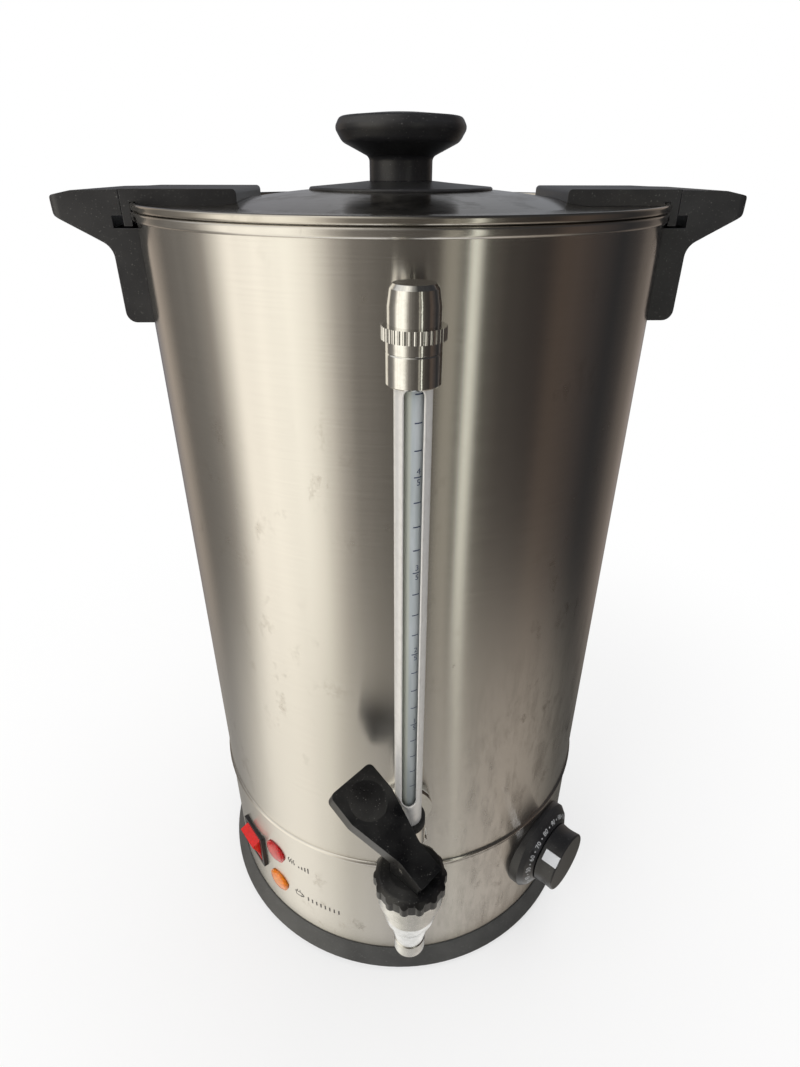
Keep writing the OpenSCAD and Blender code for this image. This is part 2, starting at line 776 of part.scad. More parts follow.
module dial_knob() {
  color(black) difference() {
    at_wall(dial_az, dial_z) difference() {
      rotate_extrude($fn = fn_body) polygon(rounded_outline([
        [0, hub_base, 0],
        [hub_r, hub_base, 0],
        [hub_r, grip_base, 0],
        [grip_r, grip_base, 0.8],
        [grip_r - 0.9, grip_base + knob_grip_l * 0.45, 20],
        [grip_r - 0.2, grip_base + knob_grip_l, 1.2],
        [0, grip_base + knob_grip_l, 0]
      ]));
      difference() {
        cylinder(h = spindle_end + run_fit, r = spindle_r + run_fit, $fn = fn_part);
        translate([-spindle_r, spindle_r * 0.5 + run_fit, hub_base])
          cube([2 * spindle_r, spindle_r, spindle_end]);
      }
    }
    pointer_place() translate([0, -0.15, -0.15]) cube([10, pointer_w + 0.3, pointer_l + 10]);
  }
}

module dial_pointer() {
  color("silver") pointer_place() cube([pointer_deep, pointer_w, pointer_l - 0.6]);
}

// ---------- Rocker switch and lamps ----------

window_wide = switch_w - 2 * bezel_rim - 1;
window_high = switch_h - 2 * bezel_rim + 0.2;
housing_t = 1;
housing_w = window_wide + 2 * housing_t;
housing_h = window_high + 2 * housing_t - 0.2;
pivot_z = -4;
rocker_pin_r = 1.5;

module switch_frame() {
  color(black) at_wall(switch_az, switch_z) difference() {
    union() {
      difference() {
        translate([0, 0, -3]) linear_extrude(3 + bezel_t) rounded_rect(switch_w, switch_h, 1);
        wall_core(tank_r + seat_fit);
      }
      translate([-housing_w / 2, -housing_h / 2, -housing_deep])
        cube([housing_w, housing_h, housing_deep + 0.5]);
    }
    translate([-window_wide / 2, -window_high / 2, -housing_deep + 6])
      cube([window_wide, window_high, housing_deep + 6]);
    translate([0, 0, pivot_z]) rotate([0, 90, 0])
      cylinder(h = housing_w + 2, r = rocker_pin_r + run_fit, center = true, $fn = fn_small);
  }
}

// Rocker in its own plane, level: x up the switch, y outwards from the pivot
module rocker_outline() {
  reach = window_high / 2 - gap - 0.2;
  polygon([
    [-reach + 2, 8.6],
    [0, 7],
    [reach - 2, 8.6],
    [reach - 0.5, 0],
    [3.5, -4],
    [-3.5, -4],
    [-reach + 0.5, 0]
  ]);
}

module switch_rocker() {
  color([0.88, 0.09, 0.09]) at_wall(switch_az, switch_z) translate([0, 0, pivot_z]) {
    rotate([rocker_swing, 0, 0]) rotate([90, 0, 90])
      linear_extrude(window_wide - 2 * gap, center = true) rocker_outline();
    rotate([0, 90, 0]) cylinder(h = housing_w - 0.2, r = rocker_pin_r, center = true, $fn = fn_small);
  }
}

lamp_z = [switch_z + lamp_gap / 2, switch_z - lamp_gap / 2];
lens_r = lamp_d / 2;
lamp_stem_l = 8;

// Domed lens with a flange on the skirt and a stem through it
module lamp_lens(z) {
  at_wall(lamp_az, z) {
    difference() {
      rotate_extrude($fn = fn_part) polygon(concat(
        [[0, -2], [lens_r, -2], [lens_r, 0.9]],
        [for (a = [0 : 10 : 90]) [(lens_r - 0.8) * cos(a), 0.9 + 1.9 * sin(a)]]
      ));
      wall_core(tank_r + seat_fit);
    }
    translate([0, 0, -lamp_stem_l]) cylinder(h = lamp_stem_l + 0.5, r = lamp_stem_r, $fn = fn_small);
  }
}

module heat_lamp_lens() {
  color([0.88, 0.29, 0.29]) lamp_lens(lamp_z[0]);
}

module warm_lamp_lens() {
  color([0.94, 0.56, 0.12]) lamp_lens(lamp_z[1]);
}

lamp_body_l = 26;

module lamp_bodies() {
  body_r = lamp_stem_r + 1.6;
  front = sheet_t + sag(tank_in, body_r) + seat_fit;
  color(black) for (z = lamp_z) {
    at_wall(lamp_az, z) difference() {
      translate([0, 0, -lamp_body_l]) cylinder(h = lamp_body_l - front, r = body_r, $fn = fn_part);
      translate([0, 0, -lamp_stem_l - 0.2]) cylinder(h = 20, r = lamp_stem_r + seat_fit, $fn = fn_part);
    }
  }
}

// ---------- Ports: what the tap and the gauge have in common ----------

seal_t = 2;
nut_t = 5;

// Outside washer, moulded to the tank
module outer_seal(z, seal_r, bore_r) {
  color(white_rubber) at_wall(0, z) difference() {
    translate([0, 0, -4]) cylinder(h = 4 + seal_t, r = seal_r, $fn = fn_part);
    wall_core(tank_r + seat_fit);
    translate([0, 0, -10]) cylinder(h = 20, r = bore_r + seat_fit, $fn = fn_part);
  }
}

// Inside washer, moulded to the tank, with a flat face for the nut
module inner_seal(z, seal_r, bore_r) {
  color(white_rubber) at_wall(0, z) difference() {
    intersection() {
      translate([0, 0, -nut_face(seal_r)]) cylinder(h = 8, r = seal_r, $fn = fn_part);
      wall_core(tank_in - seat_fit);
    }
    translate([0, 0, -20]) cylinder(h = 30, r = bore_r + seat_fit, $fn = fn_part);
  }
}

// Depth of the nut's face behind the tank's crest
function nut_face(seal_r) = sheet_t + seal_t + sag(tank_in, seal_r);

// ---------- Tap ----------

tap_y = -(tank_r + tap_reach);
nozzle_z = tap_port_z - 27;
nozzle_h = 9;
seat_z = tap_port_z - 7;
collar_z = tap_port_z + 18.4;
collar_h = 10.4;
bonnet_z = collar_z + collar_h + gap;
flange_h = 3.5;
bonnet_scallop = 1.1;
bonnet_h = 8.9;
bonnet_top = bonnet_z + bonnet_h;
chamber_r = 11.5;
plug_r = 12.5;
plug_l = 8;
pin_z = bonnet_top + pin_rise;
pin_r = 1.5;
tap_flange_r = 12;
tap_seal_r = 12;

module at_tap(z = 0) {
  translate([0, tap_y, z]) children();
}

funnel_low = 12.5;
funnel_high = 4;

module tap_body() {
  color(bright) difference() {
    union() {
      at_tap() rotate_extrude($fn = fn_body) polygon([
        [0, nozzle_z],
        [nozzle_r - 0.5, nozzle_z],
        [nozzle_r, nozzle_z + 0.5],
        [nozzle_r, nozzle_z + nozzle_h - 0.5],
        [nozzle_r - 0.4, nozzle_z + nozzle_h],
        [nozzle_r + 0.6, tap_port_z - funnel_low],
        [chamber_r * 0.93, tap_port_z - funnel_high],
        [chamber_r + 1.9, tap_port_z + 3],
        [chamber_r + 2.9, tap_port_z + 9],
        [chamber_r + 2.9, collar_z],
        [collar_r - 0.6, collar_z],
        [collar_r, collar_z + 0.6],
        [collar_r, collar_z + collar_h - 0.6],
        [collar_r - 0.6, collar_z + collar_h],
        [0, collar_z + collar_h]
      ]);
      at_wall(0, tap_port_z) {
        translate([0, 0, -shank_in]) cylinder(h = shank_in + tap_reach - 6, r = shank_r, $fn = fn_part);
        translate([0, 0, seal_t]) cylinder(h = 3, r = tap_flange_r, $fn = 6);
      }
    }
    at_tap() {
      translate([0, 0, nozzle_z - 1]) cylinder(h = seat_z, r = nozzle_bore_r, $fn = fn_part);
      translate([0, 0, seat_z])
        cylinder(h = chamber_r - nozzle_bore_r, r1 = nozzle_bore_r, r2 = chamber_r, $fn = fn_part);
      translate([0, 0, seat_z + chamber_r - nozzle_bore_r - 0.01])
        cylinder(h = 40, r = chamber_r, $fn = fn_part);
      translate([0, 0, bonnet_z - plug_l - 1]) cylinder(h = 40, r = plug_r + run_fit, $fn = fn_part);
    }
    at_wall(0, tap_port_z) translate([0, 0, -shank_in - 1])
      cylinder(h = shank_in + tap_reach - chamber_r + 4, r = waterway_r, $fn = fn_part);
  }
}

shank_in = 14;

module tap_outer_seal() {
  outer_seal(tap_port_z, tap_seal_r, shank_r);
}

module tap_inner_seal() {
  inner_seal(tap_port_z, tap_seal_r, shank_r);
}

module tap_nut() {
  color(bright) at_wall(0, tap_port_z) translate([0, 0, -nut_face(tap_seal_r) - nut_t])
    hex_nut(shank_r * 1.6, nut_t, shank_r + seat_fit);
}

// Scalloped cap with a threaded plug; it turns on the body with stem and lever
module tap_bonnet() {
  lobe_r = bonnet_r * 3.1416 / bonnet_lobes * 0.62;
  color(black) at_tap() difference() {
    union() {
      intersection() {
        rotate_extrude($fn = fn_part) polygon(rounded_outline([
          [0, bonnet_z, 0],
          [bonnet_r, bonnet_z, 0],
          [bonnet_r, bonnet_z + flange_h + 1.5, 1.2],
          [bonnet_r - 2.6, bonnet_top - 1, 2.4],
          [bonnet_r - 8, bonnet_top, 4],
          [0, bonnet_top, 0]
        ]));
        translate([0, 0, bonnet_z]) linear_extrude(bonnet_h) {
          circle(bonnet_r - bonnet_scallop, $fn = fn_part);
          for (k = [0 : bonnet_lobes - 1]) {
            rotate([0, 0, 360 * k / bonnet_lobes]) translate([bonnet_r - lobe_r, 0])
              circle(lobe_r, $fn = fn_small);
          }
        }
      }
      translate([0, 0, bonnet_z - plug_l]) cylinder(h = plug_l + 1, r = plug_r, $fn = fn_part);
    }
    translate([0, 0, bonnet_z - plug_l - 1])
      cylinder(h = plug_l + 1 + flange_h, r = spring_cavity_r, $fn = fn_part);
    translate([0, 0, bonnet_z - 20]) cylinder(h = 60, r = stem_r + run_fit, $fn = fn_part);
  }
}

spring_cavity_r = 8;
seal_plug_r = nozzle_bore_r + 1.4;
seal_bottom = seat_z + seal_plug_r - nozzle_bore_r + 0.5;
seal_plug_h = 7;
stem_above = 3;
stem_top = pin_z + stem_above;

module tap_stem() {
  color(bright) at_tap() difference() {
    union() {
      translate([0, 0, seal_bottom + 2]) cylinder(h = stem_top - seal_bottom - 2, r = stem_r, $fn = fn_part);
      translate([0, 0, seal_bottom + seal_plug_h]) cylinder(h = 1.2, r = seal_plug_r - 0.6, $fn = fn_part);
    }
    translate([0, 0, pin_z]) rotate([0, 0, lever_heading]) rotate([90, 0, 0])
      cylinder(h = 4 * stem_r, r = pin_r + seat_fit, center = true, $fn = fn_small);
  }
}

module tap_seat_seal() {
  color(white_rubber) at_tap(seal_bottom) difference() {
    cylinder(h = seal_plug_h, r = seal_plug_r, $fn = fn_part);
    translate([0, 0, 2]) cylinder(h = seal_plug_h, r = stem_r + seat_fit, $fn = fn_part);
  }
}

spring_wire_r = 0.6;
spring_coil_r = 5;
spring_turns = 6;
spring_low = seal_bottom + seal_plug_h + 1.2 + gap + spring_wire_r;
spring_high = bonnet_z + flange_h - gap - spring_wire_r;

module tap_spring() {
  steps = 12;
  color(bright) at_tap() swept_tube([
    for (i = [0 : spring_turns * steps])
      [
        spring_coil_r * cos(360 * i / steps),
        spring_coil_r * sin(360 * i / steps),
        spring_low + (spring_high - spring_low) * i / (spring_turns * steps)
      ]
  ], spring_wire_r, [0, 0, 1], 6);
}

pin_depth = 5.6;
lever_root_u = -12.7;
lever_neck_u = 3.3;
lever_wide_u = lever_root_u + lever_l - 17.6;
lever_tip_u = lever_root_u + lever_l;
thumb_u = lever_tip_u - 14;
thumb_r = 10.5;
thumb_deep = 1.6;
block_back = 11.2;
block_front = 7;
block_w = lever_root_w - 0.4;

// Lever in its own frame: pin on y through the origin, x towards the tip
module lever_shape() {
  thumb_ball = (thumb_r * thumb_r + thumb_deep * thumb_deep) / (2 * thumb_deep);
  difference() {
    union() {
      rotate([0, -lever_slope, 0]) translate([0, 0, pin_depth - lever_t]) linear_extrude(lever_t)
        polygon(rounded_outline([
          [lever_root_u, -lever_root_w / 2, 0.8],
          [lever_neck_u, -lever_root_w / 2, 14],
          [lever_wide_u, -lever_tip_w / 2, 8],
          [lever_tip_u, -lever_tip_w / 2, 3],
          [lever_tip_u, lever_tip_w / 2, 3],
          [lever_wide_u, lever_tip_w / 2, 8],
          [lever_neck_u, lever_root_w / 2, 14],
          [lever_root_u, lever_root_w / 2, 0.8]
        ]));
      difference() {
        translate([-block_back, -block_w / 2, gap - pin_rise])
          cube([block_back + block_front, block_w, pin_rise + 12]);
        rotate([0, -lever_slope, 0]) translate([-40, -20, pin_depth - 1]) cube([90, 40, 30]);
      }
    }
    rotate([0, -lever_slope, 0]) translate([thumb_u, 0, pin_depth - thumb_deep + thumb_ball])
      rotate([90, 0, 0])
      sphere(thumb_ball, $fn = 128);
    rotate([90, 0, 0]) cylinder(h = 2 * lever_root_w, r = pin_r + run_fit, center = true, $fn = fn_small);
    stem_slot();
  }
}

// Room for the stem, from the lever at rest to the lever pressed down
module stem_slot() {
  w = 2 * (stem_r + gap);
  for (tilt = [0, lever_tilt]) {
    rotate([0, -tilt, 0]) translate([-w / 2, -w / 2, -20]) cube([w, w, 20 + stem_above + gap]);
  }
  rotate([90, 0, 0]) cylinder(h = w, r = norm([stem_r, stem_above]) + gap, center = true, $fn = fn_part);
}

module tap_lever() {
  color(black) at_tap(pin_z) rotate([0, 0, lever_heading]) lever_shape();
}

module lever_pin() {
  color(bright) at_tap(pin_z) rotate([0, 0, lever_heading]) rotate([90, 0, 0])
    cylinder(h = block_w - 0.2, r = pin_r, center = true, $fn = fn_small);
}

// ---------- Sight gauge ----------

gauge_y = -(tank_r + gauge_reach);
elbow_top = gauge_port_z + 8;
elbow_bottom = gauge_port_z - elbow_r;
guard_foot = elbow_top + 4;
glass_foot = elbow_top - 4;
cap_top = rim_z - gauge_drop;
cap_h = 18.3;
cap_z = cap_top - cap_h;
flute_h = 4.6;
collar_low = cap_z - 16;
neck_h = 11;
cap_r = 9.5;
sleeve_r = 10.1;
glass_top = cap_z + 9.5;
window_low = guard_foot + 15;
window_high_z = collar_low + 1;
boss_r = 14.2;

module at_gauge(z = 0) {
  translate([0, gauge_y, z]) children();
}

// Elbow: cup for the glass, waterway, flange and threaded spigot through the tank
module gauge_elbow() {
  color(bright) difference() {
    union() {
      at_gauge() rotate_extrude($fn = fn_part) polygon(rounded_outline([
        [0, elbow_bottom, 0],
        [elbow_r, elbow_bottom, 3.5],
        [elbow_r, elbow_top, 0.6],
        [0, elbow_top, 0]
      ]));
      at_wall(0, gauge_port_z) {
        translate([0, 0, -spigot_in]) cylinder(h = spigot_in + gauge_reach - 3, r = spigot_r, $fn = fn_part);
        translate([0, 0, seal_t]) cylinder(h = 2.5, r = boss_r, $fn = fn_part);
      }
    }
    at_gauge(glass_foot) cylinder(h = 20, r = glass_r + seat_fit, $fn = fn_part);
    at_gauge(gauge_port_z) cylinder(h = 20, r = glass_r - glass_t, $fn = fn_part);
    at_wall(0, gauge_port_z) translate([0, 0, -spigot_in - 1])
      cylinder(h = spigot_in + 1 + gauge_reach, r = glass_r - glass_t, $fn = fn_part);
  }
}

spigot_in = 12;
gauge_seal_r = 11;

module gauge_outer_seal() {
  outer_seal(gauge_port_z, boss_r - 1, spigot_r);
}

module gauge_inner_seal() {
  inner_seal(gauge_port_z, gauge_seal_r, spigot_r);
}

module gauge_nut() {
  color(bright) at_wall(0, gauge_port_z) translate([0, 0, -nut_face(gauge_seal_r) - nut_t])
    hex_nut(spigot_r * 1.65, nut_t, spigot_r + seat_fit);
}

module ring(h, outer, inner) {
  difference() {
    cylinder(h = h, r = outer, $fn = fn_part);
    translate([0, 0, -1]) cylinder(h = h + 2, r = inner, $fn = fn_part);
  }
}

module gauge_base_seal() {
  color(rubber) at_gauge(elbow_top) ring(guard_foot - elbow_top, elbow_r - 0.1, glass_r + seat_fit);
}

module gauge_glass() {
  color([0.75, 0.85, 0.9, 0.5]) at_gauge(glass_foot) ring(glass_top - glass_foot, glass_r, glass_r - glass_t);
}

// Guard tube with a round-ended window to the front
module gauge_guard() {
  color([0.9, 0.9, 0.9]) at_gauge() difference() {
    translate([0, 0, guard_foot]) ring(cap_z - guard_foot - 1, guard_r, guard_r - guard_t);
    translate([0, 0, (window_low + window_high_z) / 2]) rotate([90, 0, 0]) linear_extrude(20)
      rounded_rect(window_w, window_high_z - window_low, window_w / 2 - 0.01);
  }
}

// Sleeve clamped on the guard, with the neck that the cap screws onto
module gauge_collar() {
  color(bright) at_gauge() difference() {
    union() {
      rotate_extrude($fn = fn_part) polygon([
        [0, collar_low],
        [sleeve_r - 0.5, collar_low],
        [sleeve_r, collar_low + 0.5],
        [sleeve_r, cap_z - 4.8],
        [sleeve_r - 0.3, cap_z - 4.4],
        [sleeve_r, cap_z - 4],
        [sleeve_r, cap_z - gap],
        [0, cap_z - gap]
      ]);
      translate([0, 0, cap_z - 1]) cylinder(h = neck_h, r = neck_r, $fn = fn_part);
    }
    translate([0, 0, collar_low - 1]) cylinder(h = 100, r = guard_r + seat_fit, $fn = fn_part);
  }
}

neck_r = guard_r + 0.9;

module gauge_top_seal() {
  color(rubber) at_gauge(cap_z) ring(6, guard_r - seat_fit, glass_r + seat_fit);
}

// Fluted screw cap, unscrewed to brush out the glass
module gauge_cap() {
  color(bright) at_gauge(cap_z) difference() {
    union() {
      rotate_extrude($fn = fn_part) polygon([
        [0, 0],
        [cap_r, 0],
        [cap_r, cap_h * 0.6],
        [cap_r - 0.8, cap_h - 1.6],
        [cap_r - 2, cap_h],
        [0, cap_h]
      ]);
      linear_extrude(flute_h) union() {
        circle(flute_r - 0.5, $fn = fn_body);
        for (k = [0 : flutes - 1]) {
          rotate([0, 0, 360 * k / flutes]) translate([flute_r - 0.9, 0]) circle(0.75, $fn = 16);
        }
      }
    }
    translate([0, 0, -1]) cylinder(h = 1 + neck_h + 3, r = neck_r + run_fit, $fn = fn_part);
  }
}

// ---------- Side handles ----------

lock_r = tank_r + rim_roll + 4.2;
reach_corner_r = 5;
tongue_z = rim_z - 6.7;
slot_h = 5.6;
grip_low_z = handle_top_z - 25;

// Handle on the right; the left one is its mirror image
module side_handle() {
  reach = tank_r + handle_reach;
  difference() {
    rotate([90, 0, 0]) linear_extrude(handle_w, center = true) polygon(rounded_outline([
      [tank_r - 12, handle_foot_z, 0],
      [tank_r + leg_t, handle_foot_z, 5],
      [tank_r + leg_t, grip_low_z, 8],
      [tank_r + leg_t + 9, grip_low_z + 5, 8],
      [reach - 1, handle_top_z - 3 - tip_t, 3],
      [reach, handle_top_z - 3, 3],
      [reach - 12, handle_top_z - 0.6, 12],
      [tank_r - 12, handle_top_z, 0]
    ]));
    translate([0, 0, handle_foot_z - 10]) cylinder(h = 100, r = tank_r + seat_fit, $fn = fn_body);
    translate([0, 0, tongue_z - 1]) cylinder(h = 100, r = lock_r + gap, $fn = fn_body);
    difference() {
      translate([0, 0, tongue_z - 1]) cylinder(h = slot_h, r = lock_r + 5, $fn = fn_body);
      translate([0, 0, tongue_z - 2]) cylinder(h = slot_h + 2, r = lock_r, $fn = fn_body);
    }
    for (s = [-1, 1]) {
      translate([reach, s * handle_w / 2, 0]) difference() {
        translate([-reach_corner_r, -reach_corner_r, 0])
          cube([2 * reach_corner_r, 2 * reach_corner_r, through]);
        translate([-reach_corner_r, -s * reach_corner_r, -1])
          cylinder(h = through + 2, r = reach_corner_r, $fn = fn_part);
      }
    }
    for (z = handle_screw_z) {
      translate([0, 0, z]) rotate([0, 90, 0])
        cylinder(h = tank_r + leg_t - 1.5, r = handle_screw_r + seat_fit, $fn = fn_small);
    }
  }
}

module side_handle_right() {
  color(black) side_handle();
}

module side_handle_left() {
  color(black) mirror([1, 0, 0]) side_handle();
}

washer_r = 6;
washer_back = sheet_t + 1.5 + sag(tank_in, washer_r);

module handle_screws() {
  color(bright) for (side = [-90, 90], z = handle_screw_z) {
    at_wall(side, z) translate([0, 0, -washer_back]) rotate([180, 0, 0])
      pan_screw(3.6, 2.4, handle_screw_r, washer_back + leg_t - 2.5);
  }
}

module handle_washers() {
  color(white_rubber) for (side = [-90, 90], z = handle_screw_z) {
    at_wall(side, z) difference() {
      intersection() {
        translate([0, 0, -washer_back]) cylinder(h = 5, r = washer_r, $fn = fn_small);
        wall_core(tank_in - seat_fit);
      }
      translate([0, 0, -10]) cylinder(h = 20, r = handle_screw_r + seat_fit, $fn = fn_small);
    }
  }
}

// ---------- Lid ----------

lid_z = rim_z + gap;
trough_z = lid_z + 1.5;
lid_roll_r = tank_r + rim_roll;
lid_roll_w = 2.6;
lid_roll_h = 3.2;
plug_out = tank_in - gap - 0.5;
vent_r = 1.5;
vent_spot = [-79, -18];
arm_screw_in = 26;
arm_tongue_in = 20;
arm_screw_x = arm_inner + arm_screw_in;
arm_screw_y = handle_w * 0.3;
arm_screw_r = 1.8;
knob_screw_r = 2.5;

// Height of the dome's top face at radius r
function dome_z(r) = trough_z + dome_rise * (1 - pow(min(r, dome_r) / dome_r, 2));

// Everything below the lid's top face, grown upwards by a clearance
module below_lid(clear) {
  rotate_extrude($fn = fn_body) {
    polygon(concat(
      [[0, lid_z - 4], [0, dome_z(0) + clear]],
      [for (k = [1 : 16]) [dome_r * k / 16, dome_z(dome_r * k / 16) + clear]],
      [[lid_roll_r - 1, trough_z + clear], [lid_roll_r - 1, lid_z - 4]]
    ));
    translate([lid_roll_r - lid_roll_w - clear, lid_z - 4])
      square([lid_roll_w + 2 * clear, 4 + lid_roll_h + clear]);
  }
}

module lid() {
  roll_in = lid_roll_r - lid_roll_w;
  corner_r = lid_roll_w * 0.45;
  color(steel) difference() {
    rotate_extrude($fn = fn_body) polygon(concat(
      [[0, dome_z(0) - sheet_t], [0, dome_z(0)]],
      [for (k = [1 : 16]) [dome_r * k / 16, dome_z(dome_r * k / 16)]],
      rounded_outline([
        [roll_in, trough_z, 0],
        [roll_in, lid_z + lid_roll_h, corner_r],
        [lid_roll_r, lid_z + lid_roll_h, corner_r],
        [lid_roll_r, lid_z, corner_r],
        [plug_out, lid_z, 0]
      ]),
      [[plug_out, lid_z - plug_h], [plug_out - sheet_t, lid_z - plug_h], [plug_out - sheet_t, trough_z - sheet_t]],
      [for (k = [16 : -1 : 1]) [(dome_r - 0.4) * k / 16, dome_z(dome_r * k / 16) - sheet_t]]
    ));
    translate([0, 0, rim_z]) cylinder(h = 40, r = knob_screw_r + seat_fit, $fn = fn_small);
    translate([vent_spot.x, vent_spot.y, rim_z]) cylinder(h = 40, r = vent_r, $fn = fn_small);
    for (x = [-1, 1], y = [-1, 1]) {
      translate([x * arm_screw_x, y * arm_screw_y, rim_z - 5])
        cylinder(h = 20, r = arm_screw_r + seat_fit, $fn = fn_small);
    }
  }
}

knob_base_r = knob_base_d / 2;
knob_seat_z = dome_z(0) + 1.9;

module knob_base() {
  rim_low = dome_z(knob_base_r);
  color(black) difference() {
    rotate_extrude($fn = fn_body) polygon([
      [0, rim_low - 1],
      [knob_base_r, rim_low - 1],
      [knob_base_r, rim_low + 0.7],
      [knob_base_r - 0.6, rim_low + 1.3],
      [knob_stem_r + 10, knob_seat_z - 0.9],
      [knob_stem_r + 1, knob_seat_z],
      [0, knob_seat_z]
    ]);
    below_lid(seat_fit);
    translate([0, 0, rim_z]) cylinder(h = 40, r = knob_screw_r + seat_fit, $fn = fn_small);
  }
}

module lid_knob() {
  top = knob_seat_z + knob_h;
  color(black) difference() {
    rotate_extrude($fn = fn_body) polygon(concat(
      [[0, knob_seat_z]],
      rounded_outline([
        [knob_stem_r, knob_seat_z, 0],
        [knob_stem_r, top - 19, 3],
        [knob_head_r - 3.5, top - 12.5, 6],
        [knob_head_r, top - 6.5, 3.5],
        [knob_head_r - 2.5, top - 1.8, 3],
        [knob_head_r * 0.4, top - 0.3, 0]
      ]),
      [[0, top]]
    ));
    translate([0, 0, knob_seat_z - 1]) cylinder(h = 16, r = knob_screw_r + seat_fit, $fn = fn_small);
  }
}

knob_washer_r = 8;
knob_washer_t = 1.2;
knob_washer_z = dome_z(knob_washer_r) - sheet_t - seat_fit - knob_washer_t;

module knob_washer() {
  color(white_rubber)
    translate([0, 0, knob_washer_z]) ring(knob_washer_t, knob_washer_r, knob_screw_r + seat_fit);
}

module knob_screw() {
  color(bright) translate([0, 0, knob_washer_z]) rotate([180, 0, 0])
    pan_screw(5, 3, knob_screw_r, knob_seat_z + 13 - knob_washer_z);
}

// Arm on the right: bar over the rim with a locking tongue outside it
module lid_arm() {
  difference() {
    intersection() {
      rotate([90, 0, 0]) linear_extrude(handle_w, center = true) polygon(rounded_outline([
        [arm_inner, trough_z - 3, 0],
        [lock_r + 8, trough_z - 3, 0],
        [lock_r + 8, handle_top_z, 0],
        [arm_inner, handle_top_z, 2]
      ]));
      translate([0, 0, tongue_z]) cylinder(h = 100, r = lock_r, $fn = fn_body);
    }
    below_lid(seat_fit);
    for (s = [-1, 1]) {
      translate([arm_screw_x, s * arm_screw_y, trough_z - 1])
        cylinder(h = handle_top_z - trough_z - 0.5, r = arm_screw_r + seat_fit, $fn = fn_small);
    }
  }
  difference() {
    intersection() {
      translate([arm_inner + arm_tongue_in, -handle_w / 2, tongue_z])
        cube([lock_r, handle_w, trough_z - tongue_z]);
      translate([0, 0, tongue_z]) cylinder(h = 100, r = lock_r, $fn = fn_body);
    }
    translate([0, 0, tongue_z - 1]) cylinder(h = 100, r = lid_roll_r + gap, $fn = fn_body);
  }
}

module lid_arm_right() {
  color(black) lid_arm();
}

module lid_arm_left() {
  color(black) mirror([1, 0, 0]) lid_arm();
}

module lid_arm_screws() {
  color(bright) for (x = [-1, 1], y = [-1, 1]) {
    translate([x * arm_screw_x, y * arm_screw_y, trough_z - sheet_t]) rotate([180, 0, 0])
      pan_screw(3.4, 2, arm_screw_r, handle_top_z - trough_z - 2);
  }
}

tank();
base_skirt();
base_ring();
bottom_cover();
cover_screws();
rubber_feet();
heat_spreader();
heating_element();
keep_warm_element();
thermal_cutout();
thermostat_body();
thermostat_sensor();
thermostat_screws();
power_inlet();
inlet_pins();
inlet_screws();
terminal_block();
earth_stud();
wiring();
thermostat_spindle();
dial_bezel();
dial_knob();
dial_pointer();
switch_frame();
switch_rocker();
heat_lamp_lens();
warm_lamp_lens();
lamp_bodies();
gauge_elbow();
gauge_guard();
gauge_glass();
gauge_collar();
gauge_cap();
gauge_base_seal();
gauge_top_seal();
gauge_outer_seal();
gauge_inner_seal();
gauge_nut();
tap_body();
tap_bonnet();
tap_lever();
lever_pin();
tap_stem();
tap_seat_seal();
tap_spring();
tap_outer_seal();
tap_inner_seal();
tap_nut();
side_handle_left();
side_handle_right();
handle_screws();
handle_washers();
lid();
knob_base();
lid_knob();
knob_screw();
knob_washer();
lid_arm_left();
lid_arm_right();
lid_arm_screws();
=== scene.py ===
# %% [markdown]
# # A hot water urn
# The urn is a thin stainless steel drum on a steel skirt, with a plastic ring under it, a steel lid,
# black plastic handles, a chromed tap, a sight gauge and a few controls. The CAD model holds every part
# at its real size. This lesson keeps those parts as a fixed frame, gives each one a finish that behaves
# like the real material, and adds what a solid model leaves out: printed scales, signs and small marks.

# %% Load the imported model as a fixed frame
import json
import math

import bpy
from mathutils import Matrix, Vector


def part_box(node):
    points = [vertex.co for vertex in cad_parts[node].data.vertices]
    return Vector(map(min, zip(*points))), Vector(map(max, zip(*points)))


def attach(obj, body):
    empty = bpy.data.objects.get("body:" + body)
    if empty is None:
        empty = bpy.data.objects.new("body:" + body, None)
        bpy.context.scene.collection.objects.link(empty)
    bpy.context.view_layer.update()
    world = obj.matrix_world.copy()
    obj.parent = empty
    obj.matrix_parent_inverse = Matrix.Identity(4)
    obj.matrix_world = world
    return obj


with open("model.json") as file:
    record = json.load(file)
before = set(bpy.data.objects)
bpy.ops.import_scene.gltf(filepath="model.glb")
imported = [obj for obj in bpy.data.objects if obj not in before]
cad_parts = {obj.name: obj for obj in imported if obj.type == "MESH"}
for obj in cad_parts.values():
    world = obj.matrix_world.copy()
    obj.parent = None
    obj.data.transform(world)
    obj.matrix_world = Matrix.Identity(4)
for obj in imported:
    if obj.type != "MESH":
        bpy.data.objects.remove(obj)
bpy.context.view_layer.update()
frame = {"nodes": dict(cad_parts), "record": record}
nodes = frame["nodes"]

# %% [markdown]
# The object is drawn in metres, but a maker thinks of it in millimetres. One constant turns one into the
# other, and a few real sizes of the urn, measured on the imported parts, place everything that comes later.

# %% Real sizes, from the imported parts
MM = 0.001


def middle(part):
    low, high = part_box(part)
    return (low + high) / 2


drum_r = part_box("tank")[1].x
skirt_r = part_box("base_skirt")[1].x
rim_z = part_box("tank")[1].z
seam_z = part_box("base_skirt")[1].z
gauge_y = middle("gauge_guard").y
print("drum radius", round(drum_r / MM, 1), "mm")
print("rim at", round(rim_z / MM, 1), "mm, seam at", round(seam_z / MM, 1), "mm")

# %% [markdown]
# Colours are written as the hex values that a paint chart or a picture editor shows. Those are sRGB
# numbers, while a renderer adds light in linear numbers, so one function turns the first into the second.

# %% Colours and nodes


